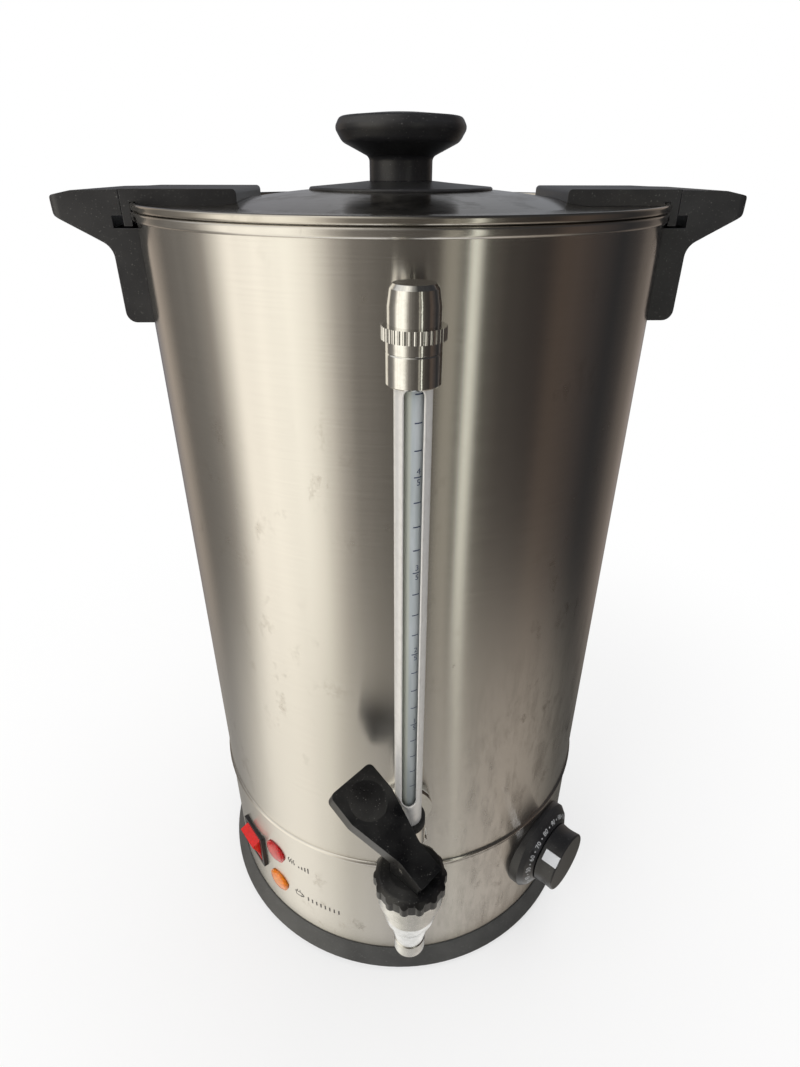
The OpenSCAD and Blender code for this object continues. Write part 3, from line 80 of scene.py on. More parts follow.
def linear(hex_colour):
    channels = [int(hex_colour[i : i + 2], 16) / 255 for i in (1, 3, 5)]
    return [c / 12.92 if c <= 0.04045 else ((c + 0.055) / 1.055) ** 2.4 for c in channels] + [1.0]


def add(tree, kind, inputs=None, **settings):
    """Adds one node: settings are its own options, inputs are values or outputs for its sockets."""
    made = tree.nodes.new(kind)
    for name, value in settings.items():
        setattr(made, name, value)
    for name, value in (inputs or {}).items():
        if isinstance(value, bpy.types.NodeSocket):
            tree.links.new(value, made.inputs[name])
        else:
            made.inputs[name].default_value = value
    return made


# The mix node has one set of sockets for each type: these are the places of its colour sockets.
MIX_A, MIX_B, MIX_OUT = 6, 7, 2


def stops(ramp, places):
    """Fills a colour ramp from (place, hex colour) pairs."""
    band = ramp.color_ramp
    while len(band.elements) > 1:
        band.elements.remove(band.elements[-1])
    band.elements[0].position, band.elements[0].color = places[0][0], linear(places[0][1])
    for place, hex_colour in places[1:]:
        band.elements.new(place).color = linear(hex_colour)
    return ramp


def new_finish(name):
    finish = bpy.data.materials.new(name)
    finish.use_nodes = True
    finish.node_tree.nodes.clear()
    return finish, finish.node_tree


def between(tree, value, low, high, out_low=0.0, out_high=1.0, curve="LINEAR"):
    """Maps a value from one range to another, held at the ends."""
    made = add(
        tree,
        "ShaderNodeMapRange",
        {"Value": value, "From Min": low, "From Max": high, "To Min": out_low, "To Max": out_high},
        interpolation_type=curve,
    )
    return made.outputs[0]


def times(tree, first, second):
    return add(tree, "ShaderNodeMath", {0: first, 1: second}, operation="MULTIPLY").outputs[0]


def plus(tree, first, second):
    return add(tree, "ShaderNodeMath", {0: first, 1: second}, operation="ADD").outputs[0]


def larger(tree, first, second):
    return add(tree, "ShaderNodeMath", {0: first, 1: second}, operation="MAXIMUM").outputs[0]


def azimuth(tree, x, y):
    """The angle round the upright axis in radians: 0 in front of the urn, growing to the right."""
    front = times(tree, y, -1.0)
    return add(tree, "ShaderNodeMath", {0: x, 1: front}, operation="ARCTAN2").outputs[0]


def object_place(tree):
    """The place of each point in the object's own coordinates."""
    return add(tree, "ShaderNodeTexCoord").outputs["Object"]


def blend_colours(tree, share, first, second):
    made = add(tree, "ShaderNodeMix", {0: share, MIX_A: first, MIX_B: second}, data_type="RGBA")
    return made.outputs[MIX_OUT]


def show(tree, shader):
    """Makes a shader the surface of its material."""
    add(tree, "ShaderNodeOutputMaterial", {"Surface": shader.outputs[0]})


print("a mid grey #808080 is", round(linear("#808080")[0], 3), "in linear light")

# %% [markdown]
# ## The camera
# The photograph was taken from close by and from above the rim, which is why the drum seems to narrow
# towards its foot. The lens, the place and the three angles below were worked out from the drum's rim,
# foot and axis in the picture, whose frame is 800 by 1067 pixels.

# %% Camera where the photographer stood
PHOTO_HEIGHT = 1067
FOCAL_PIXELS = 645.87
CAMERA_AT_MM = (-11.874, -377.829, 486.347)
LOOK_DOWN_DEG, HEADING_DEG, ROLL_DEG = 29.643, -1.796, 0.139
SENSOR_MM = 36

camera_data = bpy.data.cameras.new("photo_camera")
camera_data.sensor_width = SENSOR_MM
camera_data.lens = FOCAL_PIXELS * SENSOR_MM / PHOTO_HEIGHT
camera = bpy.data.objects.new("photo_camera", camera_data)
bpy.context.scene.collection.objects.link(camera)
camera.matrix_world = (
    Matrix.Translation(Vector(CAMERA_AT_MM) * MM)
    @ Matrix.Rotation(math.radians(HEADING_DEG), 4, "Z")
    @ Matrix.Rotation(math.pi / 2 - math.radians(LOOK_DOWN_DEG), 4, "X")
    @ Matrix.Rotation(math.radians(ROLL_DEG), 4, "Z")
)
bpy.context.scene.camera = camera
print("lens", round(camera_data.lens, 2), "mm")

# %% [markdown]
# ## Light
# A steel drum has no colour of its own: it shows what stands round it. A product photographer therefore
# builds a tent of white cloth and hangs dark boards in it, and each board becomes a dark band down the
# drum. Here the tent is a tall tube with a roof, and only reflections see it. Its cloth is warm white on
# the left of the camera, where the window was, and brown-grey on the right, where the room was dark.

# %% Scene colours and world
scene = bpy.context.scene
scene.view_settings.view_transform = "Standard"
ROOM_STRENGTH = 0.74

world = bpy.data.worlds.new("studio_world")
scene.world = world
world.use_nodes = True
sky = world.node_tree
sky.nodes.clear()
ray = add(sky, "ShaderNodeLightPath")
seen = larger(sky, ray.outputs["Is Camera Ray"], ray.outputs["Is Glossy Ray"])
seen = larger(sky, seen, ray.outputs["Is Transmission Ray"])
room = add(sky, "ShaderNodeBackground", {"Color": linear("#F4F5F8"), "Strength": ROOM_STRENGTH})
backdrop = add(sky, "ShaderNodeBackground", {"Color": linear("#FFFFFF"), "Strength": 1.0})
both = add(sky, "ShaderNodeMixShader", {0: seen, 1: room.outputs[0], 2: backdrop.outputs[0]})
add(sky, "ShaderNodeOutputWorld", {"Surface": both.outputs[0]})
print("world: a white backdrop, and soft grey light on the object")

# %% Floor that keeps the shadow and fades into the backdrop


def new_mesh(name, vertices, faces):
    mesh = bpy.data.meshes.new(name)
    mesh.from_pydata([tuple(v) for v in vertices], [], faces)
    mesh.update()
    made = bpy.data.objects.new(name, mesh)
    scene.collection.objects.link(made)
    return made


# The floor lies just under the feet. It takes the shadow near the urn, and further out it glows like the
# backdrop, so that no edge shows between the two.
FLOOR_HALF, FLOOR_Z = 6.0, -0.2 * MM
FADE_FROM, FADE_TO, LEAST_GLOW = 0.24, 0.6, 0.62
corners = [(-1, -1), (1, -1), (1, 1), (-1, 1)]
floor = new_mesh("floor", [(x * FLOOR_HALF, y * FLOOR_HALF, FLOOR_Z) for x, y in corners], [(0, 1, 2, 3)])
floor_paper, paper = new_finish("matt_white_paper")
spot = add(paper, "ShaderNodeTexCoord")
away = add(paper, "ShaderNodeVectorMath", {0: spot.outputs["Object"]}, operation="LENGTH")
fade = between(paper, away.outputs["Value"], FADE_FROM, FADE_TO, curve="SMOOTHSTEP")
cloth = add(paper, "ShaderNodeBsdfDiffuse", {"Color": linear("#F6F5F3")})
glow = add(paper, "ShaderNodeEmission", {"Color": linear("#FFFFFF"), "Strength": 1.0})
view_ray = add(paper, "ShaderNodeLightPath")
shown = larger(paper, view_ray.outputs["Is Camera Ray"], view_ray.outputs["Is Transmission Ray"])
share = times(paper, shown, between(paper, fade, 0, 1, LEAST_GLOW, 1))
paper_mix = add(paper, "ShaderNodeMixShader", {0: share, 1: cloth.outputs[0], 2: glow.outputs[0]})
show(paper, paper_mix)
floor.data.materials.append(floor_paper)
floor.visible_glossy = False
print("floor:", 2 * FLOOR_HALF, "m wide")

# %% Tent that the metal reflects
TENT_R, TENT_LOW, TENT_HIGH, TENT_SIDES = 1.6, -7.0, 4.0, 96
# Heights, in metres, over which one zone of the tent gives way to the next: the boards to the cloth below
# them, that cloth to the white of the table, and the boards to the dim ceiling.
LOWER_FROM, LOWER_TO = -0.55, -1.4
TABLE_FROM, TABLE_TO = -1.9, -4.4
CEILING_FROM, CEILING_TO = 0.95, 1.6
ring = [
    (TENT_R * math.cos(2 * math.pi * i / TENT_SIDES), TENT_R * math.sin(2 * math.pi * i / TENT_SIDES))
    for i in range(TENT_SIDES)
]
tent = new_mesh(
    "light_tent",
    [(x, y, TENT_LOW) for x, y in ring] + [(x, y, TENT_HIGH) for x, y in ring],
    [
        (i, (i + 1) % TENT_SIDES, TENT_SIDES + (i + 1) % TENT_SIDES, TENT_SIDES + i)
        for i in range(TENT_SIDES)
    ]
    + [tuple(range(TENT_SIDES, 2 * TENT_SIDES))],
)
tent_cloth, tent_tree = new_finish("tent_cloth_and_boards")
place = add(tent_tree, "ShaderNodeTexCoord")
axes = add(tent_tree, "ShaderNodeSeparateXYZ", {0: place.outputs["Object"]})
turn = azimuth(tent_tree, axes.outputs["X"], axes.outputs["Y"])
round_tent = between(tent_tree, turn, -math.pi, math.pi)


def boards(places):
    """Colour bands round the tent, from (degrees to the right of the camera, colour) pairs."""
    ramp = add(tent_tree, "ShaderNodeValToRGB", {"Fac": round_tent})
    return stops(ramp, [((degrees + 180) / 360, colour) for degrees, colour in places]).outputs[0]


upper = boards(
    [
        (-180, "#8A8B8E"),
        (-150, "#64646A"),
        (-130, "#A1968A"),
        (-114, "#625E59"),
        (-96, "#77736D"),
        (-87, "#8E8880"),
        (-81, "#CFC9BD"),
        (-74, "#FFF8EA"),
        (-44, "#FFFAEC"),
        (-36, "#EEE8DA"),
        (-28, "#A8A298"),
        (-20, "#726D66"),
        (-8, "#5C5852"),
        (4, "#4E4A45"),
        (13, "#4B4742"),
        (16, "#918C80"),
        (20, "#918C80"),
        (22, "#45423D"),
        (24, "#4E4B45"),
        (25, "#ECEBDC"),
        (28, "#ECEBDC"),
        (30, "#55524B"),
        (40, "#3F3B37"),
        (56, "#312D2B"),
        (66, "#4E443D"),
        (84, "#3C3735"),
        (98, "#2A2A2B"),
        (112, "#3E3A38"),
        (126, "#6A625B"),
        (140, "#8A8079"),
        (156, "#74777C"),
        (180, "#8A8B8E"),
    ]
)
lower = boards(
    [
        (-180, "#9C9B98"),
        (-120, "#8E8B86"),
        (-98, "#CAC5BB"),
        (-84, "#EEE9DD"),
        (-55, "#E6E0D3"),
        (-36, "#BDB8AB"),
        (-10, "#A09B92"),
        (14, "#8A857D"),
        (30, "#A09A90"),
        (62, "#ABA297"),
        (84, "#9C948A"),
        (100, "#7E7971"),
        (112, "#5E5B56"),
        (140, "#5C5B58"),
        (180, "#9C9B98"),
    ]
)
ceiling = boards(
    [
        (-180, "#3A3B3E"),
        (-140, "#4A4B4E"),
        (-105, "#C8C6C2"),
        (-50, "#F2EDE2"),
        (-15, "#8E8B85"),
        (20, "#3A3938"),
        (130, "#2E2E30"),
        (180, "#3A3B3E"),
    ]
)
depth = between(tent_tree, axes.outputs["Z"], LOWER_FROM, LOWER_TO, curve="SMOOTHSTEP")
height = between(tent_tree, axes.outputs["Z"], CEILING_FROM, CEILING_TO, curve="SMOOTHSTEP")
table = between(tent_tree, axes.outputs["Z"], TABLE_FROM, TABLE_TO, curve="SMOOTHSTEP")
low_cloth = blend_colours(tent_tree, depth, upper, lower)
high_cloth = blend_colours(tent_tree, height, low_cloth, ceiling)
whole_cloth = blend_colours(tent_tree, table, high_cloth, linear("#EDECEA"))
# Folds of the cloth, a few degrees wide, break the bands into finer upright streaks.
folds_at = add(
    tent_tree,
    "ShaderNodeCombineXYZ",
    {"X": turn, "Y": times(tent_tree, axes.outputs["Z"], 0.02)},
)
folds = add(
    tent_tree,
    "ShaderNodeTexNoise",
    {"Vector": folds_at.outputs[0], "Scale": 9.0, "Detail": 4.0, "Roughness": 0.65},
)
folded = between(tent_tree, folds.outputs["Fac"], 0.3, 0.7, 1.12, 1.5)
tent_glow = add(tent_tree, "ShaderNodeEmission", {"Color": whole_cloth, "Strength": folded})
show(tent_tree, tent_glow)
tent.data.materials.append(tent_cloth)
tent.visible_camera = False
tent.visible_diffuse = False
tent.visible_transmission = False
tent.visible_shadow = False
print("tent:", TENT_SIDES, "sides, radius", TENT_R, "m")

# %% Soft lamps for the plastic


def soft_lamp(name, at, towards_point, size, power):
    data = bpy.data.lights.new(name, "AREA")
    data.shape, data.size, data.energy = "DISK", size, power
    lamp = bpy.data.objects.new(name, data)
    lamp.location = at
    lamp.rotation_euler = (Vector(towards_point) - Vector(at)).to_track_quat("-Z", "Y").to_euler()
    lamp.visible_camera = False
    lamp.visible_glossy = False
    scene.collection.objects.link(lamp)
    return lamp


soft_lamp("window_left", (-1.3, -1.2, 1.5), (0, 0, 0.25), 1.2, 16)
soft_lamp("ceiling", (0.3, 0.4, 2.0), (0, 0, 0.2), 1.6, 12)

# %% [markdown]
# ## The steel
# The drum and its skirt are stainless steel sheet, type 304, brushed round the drum. Each scratch of the
# brushing is a tiny groove, and light spreads across grooves but not along them. So every reflection is
# pulled up and down into a tall band while its left and right edges stay fairly crisp. The anisotropic
# setting of the shader does this. The grooves themselves, old water marks and the dark brown band under the
# seam are drawn in coordinates that run round the drum, so that they wrap it like the real ones.

# %% Coordinates that run round the drum


def round_the_drum(tree):
    """Arc length and height on the drum as a flat vector, and the node that splits a point into x, y, z."""
    parts = add(tree, "ShaderNodeSeparateXYZ", {0: object_place(tree)})
    arc = times(tree, azimuth(tree, parts.outputs["X"], parts.outputs["Y"]), drum_r)
    flat = add(tree, "ShaderNodeCombineXYZ", {"X": arc, "Y": parts.outputs["Z"]})
    return flat.outputs[0], parts


def noise(tree, vector, size_mm, detail=2.0, roughness=0.5):
    """Noise whose blotches have the given width and height, in mm."""
    stretch = add(
        tree,
        "ShaderNodeVectorMath",
        {0: vector, 1: [1 / (MM * s) for s in size_mm]},
        operation="MULTIPLY",
    )
    made = add(
        tree,
        "ShaderNodeTexNoise",
        {"Vector": stretch.outputs[0], "Scale": 1.0, "Detail": detail, "Roughness": roughness},
    )
    return made.outputs["Fac"]


print("patterns are drawn at their size in mm")

# %% Brushed stainless steel, for the drum and skirt
brushed_304, tree = new_finish("stainless_304_brushed_round")
flat, parts = round_the_drum(tree)
# Real brush lines are about 0.1 mm high: drawn at 0.7 mm, so that they show in the picture.
brush = noise(tree, flat, (45, 0.7, 1), detail=3, roughness=0.7)
# Sheet is never quite round: shallow upright waves, about 30 mm apart, bend the bands a little.
waves = noise(tree, flat, (26, 240, 1), detail=1)
marks = between(tree, noise(tree, flat, (14, 22, 1), detail=6, roughness=0.72), 0.56, 0.68)
worn = between(tree, noise(tree, flat, (60, 95, 1), detail=2), 0.45, 0.62)
marks = times(tree, marks, worn)
clean = blend_colours(tree, brush, linear("#D3D0CC"), linear("#DEDCD8"))
marked = blend_colours(tree, times(tree, marks, 0.4), clean, linear("#A39A8E"))
# Wiped and dried water leaves upright smears on the right, below the middle of the drum.
smears = between(tree, noise(tree, flat, (11, 50, 1), detail=8, roughness=0.75), 0.46, 0.74)
smear_side = between(tree, parts.outputs["X"], -10 * MM, 30 * MM)
smear_foot = between(tree, parts.outputs["Z"], 300 * MM, 170 * MM)
smears = times(tree, smears, times(tree, smear_side, smear_foot))
marked = blend_colours(tree, times(tree, smears, 0.35), marked, linear("#ABA69E"))
# A patchy dark brown band just under the seam, on the right side only; it also makes the steel there rougher.
above_seam = between(tree, parts.outputs["Z"], seam_z - 0.4 * MM, seam_z + 1.6 * MM, 1, 0)
below_seam = between(tree, parts.outputs["Z"], seam_z - 3.5 * MM, seam_z - 1.2 * MM, 0, 1)
on_seam = times(tree, above_seam, below_seam)
band_side = between(tree, parts.outputs["X"], -30 * MM, 12 * MM)
patches = between(tree, noise(tree, flat, (9, 5, 1), detail=4, roughness=0.6), 0.47, 0.62)
patches = between(tree, patches, 0, 1, 0.5, 1)
seam_band = times(tree, times(tree, on_seam, band_side), patches)
seam_banded = blend_colours(tree, times(tree, seam_band, 0.85), marked, linear("#4A3223"))
rough = plus(tree, between(tree, brush, 0.3, 0.7, 0.19, 0.23), times(tree, marks, 0.10))
rough = plus(tree, rough, times(tree, smears, 0.12))
rough = plus(tree, rough, times(tree, seam_band, 0.25))
waved = add(tree, "ShaderNodeBump", {"Height": waves, "Strength": 1.0, "Distance": 0.16 * MM})
grooved = add(
    tree,
    "ShaderNodeBump",
    {"Height": brush, "Normal": waved.outputs[0], "Strength": 0.35, "Distance": 0.03 * MM},
)
grain = add(tree, "ShaderNodeTangent", direction_type="RADIAL", axis="Z")
steel = add(
    tree,
    "ShaderNodeBsdfPrincipled",
    {
        "Base Color": seam_banded,
        "Metallic": 1.0,
        "Roughness": rough,
        "Anisotropic": 0.95,
        "Anisotropic Rotation": 0.25,
        "Tangent": grain.outputs[0],
        "Normal": grooved.outputs[0],
    },
)
show(tree, steel)
print("brushed steel:", len(tree.nodes), "nodes")

# %% [markdown]
# The lid is the same steel, but spun on a lathe and polished, so its grooves run in rings round the knob
# and its reflections are much clearer. Towards the camera it mirrors the far, dark end of the room.

# %% Spun and polished stainless steel, for the lid
spun_304, tree = new_finish("stainless_304_spun")
solid = object_place(tree)
rings = add(tree, "ShaderNodeVectorMath", {0: solid, 1: (1.0, 1.0, 0.0)}, operation="MULTIPLY")
out = add(tree, "ShaderNodeVectorMath", {0: rings.outputs[0]}, operation="LENGTH")
line = add(tree, "ShaderNodeCombineXYZ", {"X": out.outputs["Value"]})
spun = noise(tree, line.outputs[0], (0.8, 1, 1), detail=2)
smears = between(tree, noise(tree, solid, (18, 18, 18), detail=5, roughness=0.65), 0.5, 0.66)
tone = blend_colours(tree, times(tree, smears, 0.25), linear("#CFCBC4"), linear("#A9A39A"))
rough = plus(tree, between(tree, spun, 0.3, 0.7, 0.15, 0.2), times(tree, smears, 0.08))
ringed = add(tree, "ShaderNodeBump", {"Height": spun, "Strength": 0.25, "Distance": 0.03 * MM})
grain = add(tree, "ShaderNodeTangent", direction_type="RADIAL", axis="Z")
steel = add(
    tree,
    "ShaderNodeBsdfPrincipled",
    {
        "Base Color": tone,
        "Metallic": 1.0,
        "Roughness": rough,
        "Anisotropic": 0.5,
        "Anisotropic Rotation": 0.25,
        "Tangent": grain.outputs[0],
        "Normal": ringed.outputs[0],
    },
)
show(tree, steel)
print("spun steel:", len(tree.nodes), "nodes")

# %% [markdown]
# Chrome plate, polished steel, brass, zinc plate and the cast parts under the drum are all bare metal too.
# They differ in colour, in how sharp their reflections are, and in how blotchy age has made them, so one
# recipe with those few values serves them all.

# %% Bare metals


def bare_metal(name, hex_colour, dull_colour, roughness, dullness, blotch_mm, bare_share=1.0):
    """A metal whose polish is uneven: blotches of the given size are duller and darker."""
    finish, tree = new_finish(name)
    blotch = noise(tree, object_place(tree), [blotch_mm] * 3, detail=5, roughness=0.65)
    blotch = between(tree, blotch, 0.45, 0.7)
    tone = blend_colours(tree, times(tree, blotch, 0.5), linear(hex_colour), linear(dull_colour))
    rough = between(tree, blotch, 0, 1, roughness, roughness + dullness)
    pits = add(tree, "ShaderNodeBump", {"Height": blotch, "Strength": 0.15, "Distance": 0.05 * MM})
    metal = add(
        tree,
        "ShaderNodeBsdfPrincipled",
        {"Base Color": tone, "Metallic": bare_share, "Roughness": rough, "Normal": pits.outputs[0]},
    )
    show(tree, metal)
    return finish


# Chrome plate: nearly white and mirror bright, with dried drops that dull it in spots.
chrome = bare_metal("chrome_plate", "#E6E6E4", "#D0CFCA", 0.04, 0.06, 3)
# The tap's body has a thinner, satin plate on a cast skin, so its reflections blur into each other.
tap_plate = bare_metal("chrome_plate_satin", "#DCDCDA", "#C2C1BD", 0.27, 0.08, 4)
# Polished steel tube and wire: as bright as chrome but softer and a little warmer.
polished_304 = bare_metal("stainless_304_polished", "#E6E4E0", "#D2CFC8", 0.24, 0.06, 6)
# Anodised aluminium of the sight guard: its oxide skin scatters light, so it is pale from every side.
anodised = bare_metal("anodised_aluminium_satin", "#E4E2DE", "#CFCCC6", 0.38, 0.1, 5, bare_share=0.4)
# Zinc plate on screws: blue-grey, satin, soon cloudy.
zinc = bare_metal("zinc_plated_steel", "#C4C7C9", "#9DA0A2", 0.32, 0.2, 2)
# Hot-dip galvanised sheet: pale grey with the spangle of zinc crystals.
galvanised = bare_metal("galvanised_steel_sheet", "#B9BCBE", "#8E9294", 0.38, 0.2, 9)
# Machined brass: yellow, satin, browner where it was handled.
brass = bare_metal("machined_brass", "#D9BC72", "#A8894C", 0.28, 0.15, 2)
# Cast aluminium: grey, rough from the mould.
cast_aluminium = bare_metal("cast_aluminium", "#B8B9BB", "#8F9092", 0.5, 0.15, 2)
# Heater sheath: steel tempered brown by its own heat.
heater_steel = bare_metal("heat_darkened_steel", "#8A7C70", "#54483F", 0.4, 0.2, 5)
print("bare metals: 9")

# %% [markdown]
# ## The plastics
# Handles, knobs, tap head and lever are black phenolic and nylon mouldings. The mould leaves a fine satin
# grain, every edge is slightly round and catches a thin line of light, and dust lies on top. The Bevel node
# rounds the edges for the light only, and the same node tells which places are edges, so that they can be
# painted a little paler: partly as rubbed plastic is, partly as a painted highlight along every edge.

# %% Moulded plastic
BEVEL_SAMPLES = 6
DUST = "#8B8983"


def moulded(name, hex_colour, edge_wear_and_highlight_colour, roughness, grain_mm, edge_mm, dust_share, dust_colour=DUST):
    """A moulded plastic with its mould grain, round edges painted paler as rubbed wear and as painted
    highlight, and specks of dust.
    """
    finish, tree = new_finish(name)
    where = object_place(tree)
    grain = noise(tree, where, [grain_mm] * 3, detail=2)
    cloud = between(tree, noise(tree, where, [16] * 3, detail=3), 0.35, 0.7)
    round_edge = add(tree, "ShaderNodeBevel", {"Radius": edge_mm * MM}, samples=BEVEL_SAMPLES)
    true_side = add(tree, "ShaderNodeNewGeometry")
    agree = add(
        tree,
        "ShaderNodeVectorMath",
        {0: round_edge.outputs[0], 1: true_side.outputs["True Normal"]},
        operation="DOT_PRODUCT",
    )
    # Painted highlight and wear: every edge is painted paler, partly as rubbed plastic and partly as the line
    # of light an edge catches.
    rubbed_and_lit_edge = between(tree, agree.outputs["Value"], 0.97, 0.82)
    worn = blend_colours(tree, times(tree, rubbed_and_lit_edge, 0.5), linear(hex_colour), linear(edge_wear_and_highlight_colour))
    # Dust specks are 0.1 mm in life and 0.7 mm here, so that they show.
    speck = between(tree, noise(tree, where, [0.7] * 3, detail=1), 0.70, 0.76)
    film = times(tree, cloud, 0.12)
    dust = times(tree, plus(tree, speck, film), dust_share)
    dusty = blend_colours(tree, dust, worn, linear(dust_colour))
    grained = between(tree, grain, 0.3, 0.7, roughness - 0.03, roughness + 0.05)
    rough = plus(tree, grained, times(tree, dust, 0.3))
    skin = add(
        tree,
        "ShaderNodeBump",
        {"Height": grain, "Normal": round_edge.outputs[0], "Strength": 0.25, "Distance": 0.06 * MM},
    )
    plastic = add(
        tree,
        "ShaderNodeBsdfPrincipled",
        {"Base Color": dusty, "Roughness": rough, "IOR": 1.5, "Normal": skin.outputs[0]},
    )
    show(tree, plastic)
    return finish


# Phenolic of the handles and the lid knob: deep black, satin, barely dusty.
phenolic = moulded("black_phenolic_moulded", "#222224", "#555557", 0.32, 0.5, 0.5, 0.35)
# Glass-filled nylon of the tap head: matt black with most of the dust, because it is wet so often.
tap_nylon = moulded("black_nylon_moulded", "#08080A", "#4A4E50", 0.3, 0.6, 0.35, 0.45)
# Polypropylene of the ring under the drum: dark grey, matt, its edges painted paler as scuffs and as a
# painted highlight.
grey_propylene = moulded("grey_polypropylene_moulded", "#434342", "#6E6D6B", 0.42, 0.6, 0.6, 0.5, "#A09F9A")
# Urea of the terminal block and thermostat: cream, hard, slightly glossy.
cream_urea = moulded("cream_urea_moulded", "#D6CDB4", "#E2DCC8", 0.4, 0.6, 0.2, 0.3)
# Nitrile rubber of seals and feet: near black, matt.
nitrile = moulded("black_nitrile_rubber", "#1E1E1E", "#3A3A3A", 0.75, 0.4, 0.2, 0.6)
# Silicone rubber of the washers: milky white, waxy.
silicone = moulded("white_silicone_rubber", "#DDDAD0", "#E8E6DE", 0.5, 0.5, 0.2, 0.2)
# Silicone sleeve on the wires: red, waxy.
red_sleeve = moulded("red_silicone_sleeve", "#B4221C", "#CC4A40", 0.5, 0.5, 0.1, 0.2)
# Metallised insert of the dial: silver paint on plastic.
silver_insert = moulded("silver_painted_insert", "#E6E7E8", "#F0F0F0", 0.25, 0.4, 0.1, 0.2)
print("moulded plastics and rubbers: 8")

# %% [markdown]
# The rocker and the two lamp lenses are clear coloured plastic, polycarbonate and acrylic. Light goes in,
# scatters and comes back out, so they look brighter and deeper than paint of the same colour. The lenses
# have a pattern of small prisms inside, which shows as a mottle.

# %% Coloured clear plastic


def coloured_clear(name, hex_colour, deep_colour, roughness, prism_mm):
    finish, tree = new_finish(name)
    where = object_place(tree)
    scale = add(
        tree,
        "ShaderNodeVectorMath",
        {0: where, 1: [1 / (prism_mm * MM)] * 3},
        operation="MULTIPLY",
    )
    prisms = add(tree, "ShaderNodeTexVoronoi", {"Vector": scale.outputs[0], "Scale": 1.0})
    share = between(tree, prisms.outputs["Distance"], 0.1, 0.8, 0.0, 0.55)
    tone = blend_colours(tree, share, linear(hex_colour), linear(deep_colour))
    round_edge = add(tree, "ShaderNodeBevel", {"Radius": 0.4 * MM}, samples=BEVEL_SAMPLES)
    facets = add(
        tree,
        "ShaderNodeBump",
        {
            "Height": prisms.outputs["Distance"],
            "Normal": round_edge.outputs[0],
            "Strength": 0.2,
            "Distance": 0.2 * MM,
        },
    )
    clear = add(
        tree,
        "ShaderNodeBsdfPrincipled",
        {
            "Base Color": tone,
            "Roughness": roughness,
            "IOR": 1.58,
            "Subsurface Weight": 0.35,
            "Subsurface Radius": (4 * MM, 1.2 * MM, 0.8 * MM),
            "Coat Weight": 0.3,
            "Normal": facets.outputs[0],
        },
    )
    show(tree, clear)
    return finish


red_rocker = coloured_clear("red_polycarbonate", "#EC0C08", "#C80806", 0.22, 3.0)
red_lens = coloured_clear("red_acrylic_lens", "#D0141C", "#8E0A12", 0.15, 1.4)
amber_lens = coloured_clear("amber_acrylic_lens", "#F48A0C", "#BC5A04", 0.15, 1.4)
print("coloured clear plastics: 3")

# %% [markdown]
# The sight tube is borosilicate glass with hard-water film on its inside. From outside it looks pale grey,
# because the film scatters the light that comes through, and it hides the far side of the steel guard. Its
# left side, towards the window, is painted a paler green-grey as painted light.

# %% Glass
sight_glass, tree = new_finish("borosilicate_glass_tube")
solid = object_place(tree)
parts = add(tree, "ShaderNodeSeparateXYZ", {0: solid})
film = between(tree, noise(tree, solid, (3, 3, 30), detail=4), 0.35, 0.7)
low_end = between(tree, parts.outputs["Z"], 190 * MM, 300 * MM, 1, 0)
grey = blend_colours(tree, film, linear("#B4BBBC"), linear("#C9CED0"))
# Painted light: the left side of the tube, towards the window, is painted a paler green-grey.
painted_light_left_side = between(tree, parts.outputs["X"], -0.4 * MM, -1.4 * MM)
grey = blend_colours(tree, painted_light_left_side, grey, linear("#C6C9BC"))
grey = blend_colours(tree, times(tree, low_end, 0.55), grey, linear("#6F7472"))
glass = add(
    tree,
    "ShaderNodeBsdfPrincipled",
    {
        "Base Color": grey,
        "Roughness": 0.12,
        "IOR": 1.47,
        "Transmission Weight": 0.2,
    },
)
show(tree, glass)
print("glass: 1")

# %% [markdown]
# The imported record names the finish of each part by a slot. Each slot gets its material here; the lid, the
# tap head and a few others share a slot with other parts but are made of something a little different.

# %% Finish of every part
slot_finish = {
    "brushed_stainless": brushed_304,
    "polished_steel": polished_304,
    "zinc_steel": zinc,
    "galvanised_sheet": galvanised,
    "chrome": chrome,
    "brass": brass,
    "cast_aluminium": cast_aluminium,
    "element_sheath": heater_steel,
    "grey_plastic": grey_propylene,
    "black_plastic": phenolic,
    "cream_plastic": cream_urea,
    "red_rocker": red_rocker,
    "red_lens": red_lens,
    "amber_lens": amber_lens,
    "silver_insert": silver_insert,
    "gauge_glass": sight_glass,
    "black_rubber": nitrile,
    "white_silicone": silicone,
    "red_insulation": red_sleeve,
}
own_finish = {
    "lid": spun_304,
    "gauge_guard": anodised,
    "tap_body": tap_plate,
    "tap_bonnet": tap_nylon,
    "tap_lever": tap_nylon,
}
slot_of = {row["node"]: row["material_slot"] for row in frame["record"]["subparts"]}
for part, shown in nodes.items():
    finish = own_finish.get(part, slot_finish[slot_of[part]])
    for slot in shown.material_slots:
        slot.material = finish
print("parts finished:", len(nodes))

# %% [markdown]
# ## Printed marks
# The scale on the sight tube, the numbers of the dial and the signs beside the lamps are a few hundredths
# of a millimetre of ink. Each is drawn flat first, in millimetres, as strokes and plain digits, and is then
# wrapped on the curved part that carries it. A wrap is a formula: it turns a flat point into a point on
# the tube, the drum or the cone of the dial.

# %% Strokes and digits, drawn flat
# The font's digits are 0.73 of its size high.
DIGIT_SHARE = 0.73


def stroke(points, width):
    """A pen line through flat points in mm: vertices and quads."""
    sides = []
    for i, point in enumerate(points):
        before, after = points[max(i - 1, 0)], points[min(i + 1, len(points) - 1)]
        along = (Vector(after) - Vector(before)).normalized()
        across = Vector((-along.y, along.x)) * width / 2
        sides += [Vector(point) + across, Vector(point) - across]
    quads = [(2 * i, 2 * i + 1, 2 * i + 3, 2 * i + 2) for i in range(len(points) - 1)]
    return sides, quads


